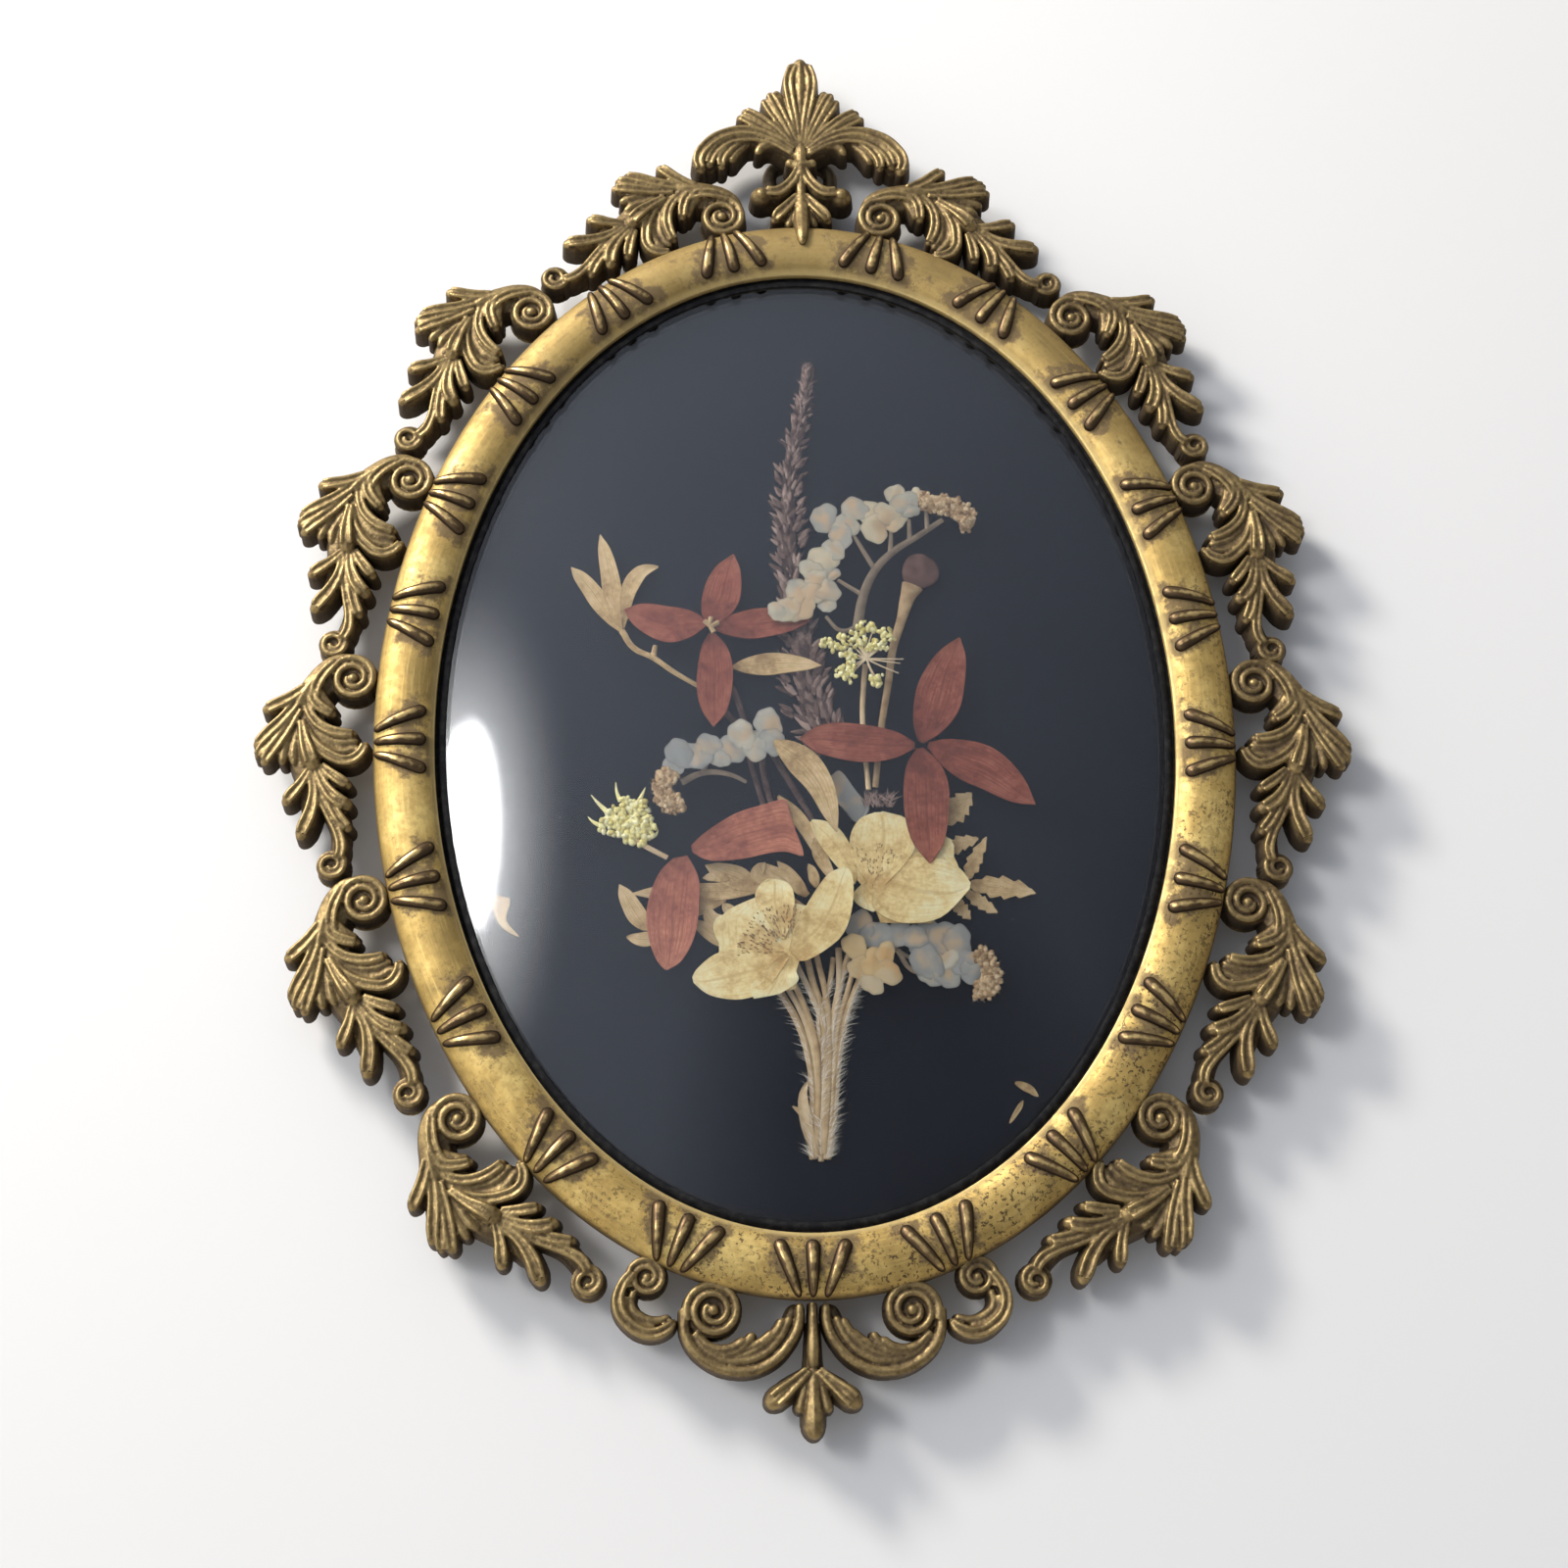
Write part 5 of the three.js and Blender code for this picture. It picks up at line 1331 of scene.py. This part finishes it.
def makeSpray(name, shape):
    z = layerZ(shape["layer"])
    finishPiece(lobePiece(shape["lobes"], z + 0.15, "blossoms_" + name), shape["look"], [name], 60)
    finishPiece(makeCurl(shape["curl"], shape["width"], z), curlFuzz, [], 60).name = "curl_" + name
    stems = [stemPiece(shape["stems"], z - 0.2, shape["stemRadius"], 0.5, 0.5, 0.2),
             stemPiece(shape["twigs"], z - 0.2, 0.4, 0.7, 0.6, 0.35)]
    finishPiece(joinPieces(stems, "twigs_" + name), greyStem, [], 60)


for sprayName, sprayShape in sprays.items():
    makeSpray(sprayName, sprayShape)

blueEdges = ([(3.4, -8.6), (5, -7.2), (7.2, -10.1), (9.2, -12.8), (8.8, -14.2)],
             [(3.5, -9), (4.1, -11.5), (5.8, -13.8), (7.1, -15.2), (8, -14.8)])
bluePetal = sheetPiece("looseBluePetal", [edgeSheet(*blueEdges, layerZ(0), 0.1, 0.25)])
floatAttribute(bluePetal, "reach", [0.7] * len(bluePetal.data.vertices))
finishPiece(toned(bluePetal, 0.95), blueBlossom, ["blue_petal"])
peachLobes = [(6.6, -34.9, 1.9, 0.2), (11, -35.9, 1.6, 0.3), (11.2, -38.8, 2, 0.5), (9, -40.4, 1.7, 0.7),
              (7.2, -38, 1.7, 0.3), (9.1, -37.3, 2, 0.1)]
finishPiece(lobePiece(peachLobes, layerZ(3), "peachFlower", 1.05), peachBlossom, ["peach_blossom"], 60)
print("blossoms laid")


# Umbels: rays with heads of small florets
umbels = {
    "umbel_right": {"layer": 4, "hub": (9.1, 9.7), "beads": 12, "bead": 0.46, "spread": 0.95, "heads": [
        (9.2, 15.1), (7.7, 14), (5.8, 13.2), (4, 11.5), (3, 12.2), (5.8, 10.9), (7.6, 12.1), (6.6, 9.8),
        (9.2, 11.8), (10.5, 12.1), (12.2, 13.7), (11.8, 11.9), (12.5, 12.9), (6, 7.6), (4.9, 7.3), (6.5, 6.6),
        (10.6, 6.5), (10.5, 5.9), (7, 8.5), (10.2, 14.5), (8.2, 12.9)],
        "rays": [(14.7, 9.7), (13.9, 7.4), (14.2, 9)],
        "stem": [(9.1, 9.7), (8.7, 5.6), (8.5, 0.8), (9.2, -10.4)], "bracts": []},
    "umbel_left": {"layer": 1, "hub": (-25.8, -17.4), "beads": 25, "bead": 0.56, "spread": 1.35, "heads": [
        (-26.4, -15), (-28.2, -16.6), (-24.4, -15.4), (-23.6, -16.8), (-28.6, -14.6), (-26.8, -17.8), (-25, -18),
        (-29.4, -16.4), (-26.6, -13.2), (-24.8, -13.6), (-27.4, -15.8), (-25.6, -16.6)],
        "rays": [],
        "stem": [(-26, -18), (-24.1, -19.2), (-20.6, -21.1)],
        "bracts": [[(-29.6, -14), (-31, -12.6), (-32, -11.4)], [(-27.6, -12.4), (-28.2, -11), (-28.4, -9.4)],
                   [(-30.4, -16.2), (-31.6, -15.6), (-32.4, -14.8)], [(-23.6, -18.2), (-22.4, -17.6), (-22, -16.8)],
                   [(-25, -12.6), (-24.4, -11.2), (-24, -10.2)]]},
}


def makeUmbel(name, shape):
    z = layerZ(shape["layer"])
    seats = []
    for x, y in shape["heads"]:
        for k in range(shape["beads"]):
            angle = dice.uniform(0, 2 * math.pi)
            reach = shape["spread"] * math.sqrt(dice.random())
            size = shape["bead"] * dice.uniform(0.65, 1.15)
            seats.append(((x + reach * math.cos(angle), y + reach * math.sin(angle), z + dice.uniform(0, 0.5)),
                          dice.uniform(0, 3), (size, size * 0.75, size * 0.7), dice.random()))
    pattern = smallBall()
    florets = [scatter(pattern, seats, "florets")]
    dropObject(pattern)
    if shape["bracts"]:
        florets.append(stemPiece(shape["bracts"], z, 0.4, 0.15, 0.5, 0.6))
    finishPiece(joinPieces(florets, "florets_" + name), umbelBead, [name], 60)
    runs = [[shape["hub"], ((shape["hub"][0] + x) / 2 + dice.uniform(-0.3, 0.3), (shape["hub"][1] + y) / 2), (x, y)]
            for x, y in shape["heads"] + shape["rays"]]
    parts = [stemPiece(runs, z, 0.16, 0.6, 0.9, 0.9), stemPiece([shape["stem"]], layerZ(1), 0.42, 0.9, 0.8, 0.6)]
    finishPiece(joinPieces(parts, "rays_" + name), dryStem, [], 60)


for umbelName, umbelShape in umbels.items():
    makeUmbel(umbelName, umbelShape)


# Flower spike: pointed bracts crowded along a stem
spike = {"spine": [(1, 61.2), (0.2, 54.9), (-2.1, 42.6), (-2.3, 29.4), (-0.8, 14.1), (0.4, 3.8), (4, -3)],
         "bracts": 460, "long": 3.3, "half": (1.1, 2.2, 3.1, 3.5, 3.9, 4.7, 4.2), "tuck": 1.0,
         "hairFrom": 0.6, "hairLong": 1.5, "hairThick": 0.06}


def makeSpike():
    z = layerZ(0)
    run = [(x, y, 0) for x, y in spike["spine"]]
    halves = [(half, 0, 0) for half in spike["half"]]
    pattern = smallBall()
    for vertex in pattern.data.vertices:      # drawn out to a point
        reach = (vertex.co.x + 1) / 2
        vertex.co.y *= 1 - 0.75 * reach
        vertex.co.z *= 1 - 0.6 * reach
    seats = []
    roots = []
    for i in range(spike["bracts"]):
        share = (i + dice.random()) / spike["bracts"]
        ahead = -(runAt(run, share + 0.01) - runAt(run, share - 0.01)).normalized()
        out = Vector((ahead.y, -ahead.x, 0))
        aside = dice.uniform(-1, 1)
        half = runAt(halves, share).x
        place = runAt(run, share) + out * aside * max(0.2, half - spike["tuck"])
        heading = math.atan2(ahead.y, ahead.x) - aside * 0.8 + dice.uniform(-0.3, 0.3)
        length = spike["long"] * dice.uniform(0.65, 1) * (0.5 + 0.5 * min(1, share * 1.6))
        rise = 0.45 * (1 - aside * aside) + dice.uniform(0, 0.3)
        seats.append(((place.x, place.y, z + rise), heading, (length * 0.5, 0.24 * length, 0.28), dice.random()))
        if abs(aside) > spike["hairFrom"]:
            roots.append((place.x, place.y, z + 0.2, heading + dice.uniform(-0.5, 0.5)))
    parts = [stemPiece([spike["spine"]], z, 1.0, 1.2, 0.4, 0.3), scatter(pattern, seats, "bracts"),
             hairPiece(roots, spike["hairLong"], spike["hairThick"])]
    dropObject(pattern)
    return joinPieces(parts, "flowerSpike")


finishPiece(makeSpike(), spikeGrain, ["flower_spike"], 60)

bud = {"centre": (17.8, 25.1), "radius": 2.95,
       "stem": [(16.6, 22.8, 1.7), (15.8, 20.9, 1.15), (14.8, 17.3, 0.75), (13.3, 12.2, 0.6), (12.5, 6.6, 0.55),
                (11.4, 0.2, 0.5), (10.2, -10, 0.45)]}


def makeBud():
    z = layerZ(1)
    bpy.ops.mesh.primitive_uv_sphere_add(segments=40, ring_count=20, radius=1)
    head = bpy.context.object
    for vertex in head.data.vertices:
        x, y, up = vertex.co
        angle = math.atan2(y, x)
        swell = 1 + 0.04 * math.cos(3 * angle + 0.6)
        vertex.co = ((bud["centre"][0] + x * bud["radius"] * 0.97 * swell) * mm,
                     (bud["centre"][1] + y * bud["radius"] * swell) * mm,
                     (z + 0.25 + up * 0.5 + 0.06 * math.sin(9 * x)) * mm)
    head.name = "roundBud"
    return toned(head, 0.5)


finishPiece(makeBud(), budSkin, ["round_bud"], 60)
budStem = strokesToMesh("budStem", [[(x, y, layerZ(1), radius) for x, y, radius in bud["stem"]]], 5, 2)
finishPiece(toned(flattened(budStem, layerZ(1), 0.4), 0.15), dryStem, [], 60)

bundle = {"stems": [
    [(-6, -38), (-3.9, -41.5), (-1.6, -45.7), (-0.1, -50.7), (0.5, -56.6), (0.2, -62.4), (0.4, -65.3)],
    [(-3, -34.3), (-1.6, -37.3), (0.9, -42.9), (2.4, -47.5), (2.1, -54.3), (1.3, -63.3)],
    [(0.8, -33.9), (1.2, -35.9), (2.5, -42), (2.9, -47), (2.8, -54.3), (2, -64.6)],
    [(6.2, -34.4), (5.3, -37.4), (3.8, -43.3), (3.3, -48), (3, -56.6), (2.2, -65.3)],
    [(9.4, -35.4), (7.5, -39.1), (5.4, -44.5), (4.2, -50.2), (3.4, -58.4), (2.4, -65.3)],
    [(-4.4, -35.6), (-2.5, -39.2), (0.2, -45.7), (1.2, -50.7), (1.1, -58.8), (0.8, -65.1)],
    [(3.6, -36), (2.9, -40.6), (1.5, -44.3), (1.7, -49.8), (1.6, -58.8), (1.5, -65.6)],
    [(-0.4, -35), (0.6, -39.6), (1.9, -44), (2.4, -50.4), (2.2, -64)],
    [(7, -35.6), (5.9, -40), (4.3, -45.6), (3.6, -52), (2.8, -64.6)],
    [(-5.2, -36.4), (-3.2, -40.2), (-0.9, -44.6), (0.7, -50.4), (0.9, -63.8)],
    [(4.4, -34.6), (4.4, -40), (3.6, -45.4), (2.6, -51), (1.8, -63)]],
    "behind": [[(-12.4, 9), (-10.7, 5.3), (-9.7, 2.1), (-8.4, -2.4)],
               [(-12.9, 3), (-9.7, -1), (-8.3, -6.2), (-6.4, -13)],
               [(-6.9, -4), (-6, -9.8), (-4.4, -15)], [(-5.4, -4), (-1.8, -10.3), (2, -17)]],
    "sheath": [([(0.6, -64.8), (-0.6, -60.4), (-1, -56.4), (-0.2, -54.2)], 0.8),
               ([(-0.2, -60.6), (-1.2, -58.9), (-2.5, -57.9)], 0.5)],
    "thick": 0.46, "hairs": 1100, "hairLong": 2.2, "hairThick": 0.045}


def makeBundle():
    z = layerZ(0)
    parts = [stemPiece([run], z + 0.14 * (i % 3), bundle["thick"] * dice.uniform(0.75, 1.1), 1.15, 0.8,
                       dice.uniform(0.3, 1))
             for i, run in enumerate(bundle["stems"])]
    parts += [toned(petalSheet(spine, [0.3 * half, half, half, 0.6 * half, 0.1], z + 0.5, 0.2, 0.1, (6, 10)), 0.7)
              for spine, half in bundle["sheath"]]
    return joinPieces(parts, "stemBundle")


def makeBundleHairs():
    z = layerZ(0)
    roots = []
    for k in range(bundle["hairs"]):
        run = [(x, y, 0) for x, y in bundle["stems"][dice.choice((0, 4, 4, 3, 1, 6))]]
        share = dice.uniform(0.1, 1) ** 0.8
        place = runAt(run, share)
        ahead = (runAt(run, share + 0.02) - runAt(run, share - 0.02)).normalized()
        side = -1 if place.x < 1.6 else 1
        heading = math.atan2(-ahead.y, -ahead.x) - side * dice.uniform(0.15, 1.2)
        roots.append((place.x, place.y, z + dice.uniform(0.2, 0.8), heading))
    hairs = hairPiece(roots, bundle["hairLong"], bundle["hairThick"])
    hairs.name = "stemHairs"
    return hairs


finishPiece(makeBundle(), dryStem, ["stem_bundle"], 60)
finishPiece(makeBundleHairs(), paleHair, [], 60)
darkStems = stemPiece(bundle["behind"], layerZ(0), 0.5, 0.8, 0.6, 0.25)
finishPiece(darkStems, spikeGrain, [], 60).name = "darkStems"

# Bits between the petals: a brown tuft, and the stubs in the middle of the upper red flower
bits = {"tuft": (10.8, -12.6), "tuftHairs": 90, "tuftLong": 2.2, "tuftThick": 0.14, "stubRadius": 0.36,
        "stubs": [[(-14.5, 15.3), (-14.4, 16.8)], [(-14.4, 15.3), (-13.2, 16)],
                  [(-14.4, 15.3), (-15.4, 16.2)], [(-14.4, 15.2), (-13.9, 14.3)]]}
tuftX, tuftY = bits["tuft"]
tuftRoots = [(tuftX + dice.uniform(-2.2, 2.2), tuftY + dice.uniform(-0.6, 1), layerZ(1), dice.uniform(0.3, 2.8))
             for k in range(bits["tuftHairs"])]
tuft = joinPieces([hairPiece(tuftRoots, bits["tuftLong"], bits["tuftThick"])], "brownTuft")
finishPiece(tuft, spikeGrain, [], 60)
stubs = stemPiece(bits["stubs"], layerZ(2) + 0.5, bits["stubRadius"], 1.1, 0.9, 0.3)
finishPiece(stubs, dryStem, [], 60).name = "flowerStubs"
print("spike, bud, umbels and stems laid")


# Camera, floor and light

view = {"focal": 2250, "frame": 1600, "target": (-3.22, -7.67, 0), "distance": 334.7, "lean": -1.92, "tilt": 19.0,
        "roll": -0.40, "sensor": 36}


def makeCamera():
    back = Vector((math.tan(math.radians(view["lean"])), -math.tan(math.radians(view["tilt"])), 1)).normalized()
    right = Vector((0, 1, 0)).cross(back).normalized()
    up = back.cross(right)
    roll = math.radians(view["roll"])
    turnedRight = math.cos(roll) * right + math.sin(roll) * up
    turnedUp = -math.sin(roll) * right + math.cos(roll) * up
    place = Vector(view["target"]) * mm + back * view["distance"] * mm
    bpy.ops.object.camera_add()
    camera = bpy.context.object
    camera.matrix_world = Matrix.Translation(place) @ Matrix((turnedRight, turnedUp, back)).transposed().to_4x4()
    camera.data.sensor_width = view["sensor"]
    camera.data.lens = view["sensor"] * view["focal"] / view["frame"]
    camera.data.clip_start = 0.01
    bpy.context.scene.camera = camera


makeCamera()

studioFloor = {"size": 6, "level": -0.0002, "colour": (0.575, 0.567, 0.556, 1), "rough": 0.6, "gloss": 0.3}
bpy.ops.mesh.primitive_plane_add(size=studioFloor["size"], location=(0, 0, studioFloor["level"]))
floor = bpy.context.object
floor.name = "floor"
paleFloor = newMaterial("paleFloor", {"Base Color": studioFloor["colour"], "Roughness": studioFloor["rough"],
                                      "Specular IOR Level": studioFloor["gloss"]})[0]
floor.data.materials.append(paleFloor)

light = {"window": (-0.625, 0.2, 0.78), "windowAlong": (0.03, 0.97, -0.23), "windowSize": (0.30, 0.13),
         "windowPower": 1.9, "glowAlong": 0.36, "glowAcross": 0.24, "glow": 20.0,
         "key": (-0.45, 0.44, 0.34), "keyAlong": (0.67, 0.74, 0), "keySize": (0.22, 0.13),
         "keyPower": 7.2, "keyColour": (1.0, 0.96, 0.90),
         "skyBase": 0.52, "skyX": -0.42, "skyY": 0.2, "skyColour": (0.97, 1.07, 1.27),
         "dim": (0.2, -0.2, 0.96), "dimShare": 0.65, "lowColour": (1.12, 1.04, 0.92), "lowX": -0.42, "lowY": -0.3}


# An area light that faces the middle of the scene, its long side along a given direction
def addLamp(name, place, along, size, power):
    bpy.ops.object.light_add(type="AREA")
    lamp = bpy.context.object
    lamp.name = name
    back = Vector(place).normalized()
    right = (Vector(along) - Vector(along).dot(back) * back).normalized()
    lamp.matrix_world = Matrix.Translation(place) @ Matrix((right, back.cross(right), back)).transposed().to_4x4()
    lamp.data.shape = "ELLIPSE"
    lamp.data.size, lamp.data.size_y = size
    lamp.data.energy = power
    return lamp


def makeLight():
    addLamp("window", light["window"], light["windowAlong"], light["windowSize"], light["windowPower"])
    key = addLamp("key", light["key"], light["keyAlong"], light["keySize"], light["keyPower"])
    key.data.color = light["keyColour"]
    world = bpy.data.worlds.new("studio")
    bpy.context.scene.world = world
    world.use_nodes = True
    heading = addNode(world, "TexCoord").outputs["Generated"]
    way = addNode(world, "SeparateXYZ", {0: heading}).outputs
    side = plus(world, times(world, way[0], light["skyX"]), times(world, way[1], light["skyY"]))
    level = plus(world, side, light["skyBase"], True)
    middle = addNode(world, "VectorMath", {0: heading, 1: light["dim"]}, operation="DOT_PRODUCT").outputs["Value"]
    dim = ramp(world, middle, [(0.9, 0), (0.98, light["dimShare"])])
    level = times(world, level, minus(world, 1.0, dim))
    overhead = mixed(world, level, grey(0.02), light["skyColour"])
    facing = Vector(light["window"]).normalized()
    along = Vector(light["windowAlong"])
    along = (along - along.dot(facing) * facing).normalized()
    reach = []
    for axis, size in ((along, light["glowAlong"]), (facing.cross(along), light["glowAcross"])):
        part = addNode(world, "VectorMath", {0: heading, 1: axis / size}, operation="DOT_PRODUCT").outputs["Value"]
        reach.append(times(world, part, part))
    away = calc(world, "SQRT", plus(world, *reach))
    ahead = calc(world, "GREATER_THAN",
                 addNode(world, "VectorMath", {0: heading, 1: facing}, operation="DOT_PRODUCT").outputs["Value"], 0.0)
    near = times(world, minus(world, 1.0, away, True), ahead)
    glow = times(world, times(world, near, near), light["glow"])
    glowColour = addNode(world, "CombineXYZ", {0: glow, 1: glow, 2: glow}).outputs[0]
    overhead = mixed(world, 1.0, overhead, glowColour, "ADD")
    low = ramp(world, way[2], [(0.3, 1), (0.58, 0)])
    around = plus(world, times(world, way[0], light["lowX"]), times(world, way[1], light["lowY"]))
    ring = addNode(world, "VectorMath", {0: light["lowColour"], "Scale": plus(world, around, 1.0)},
                   operation="SCALE").outputs["Vector"]
    sky = world.node_tree.nodes["Background"]
    world.node_tree.links.new(mixed(world, low, overhead, ring), sky.inputs["Color"])
    sky.inputs["Strength"].default_value = 1.0


makeLight()
bpy.context.scene.view_settings.view_transform = "Standard"

print("scene ready")
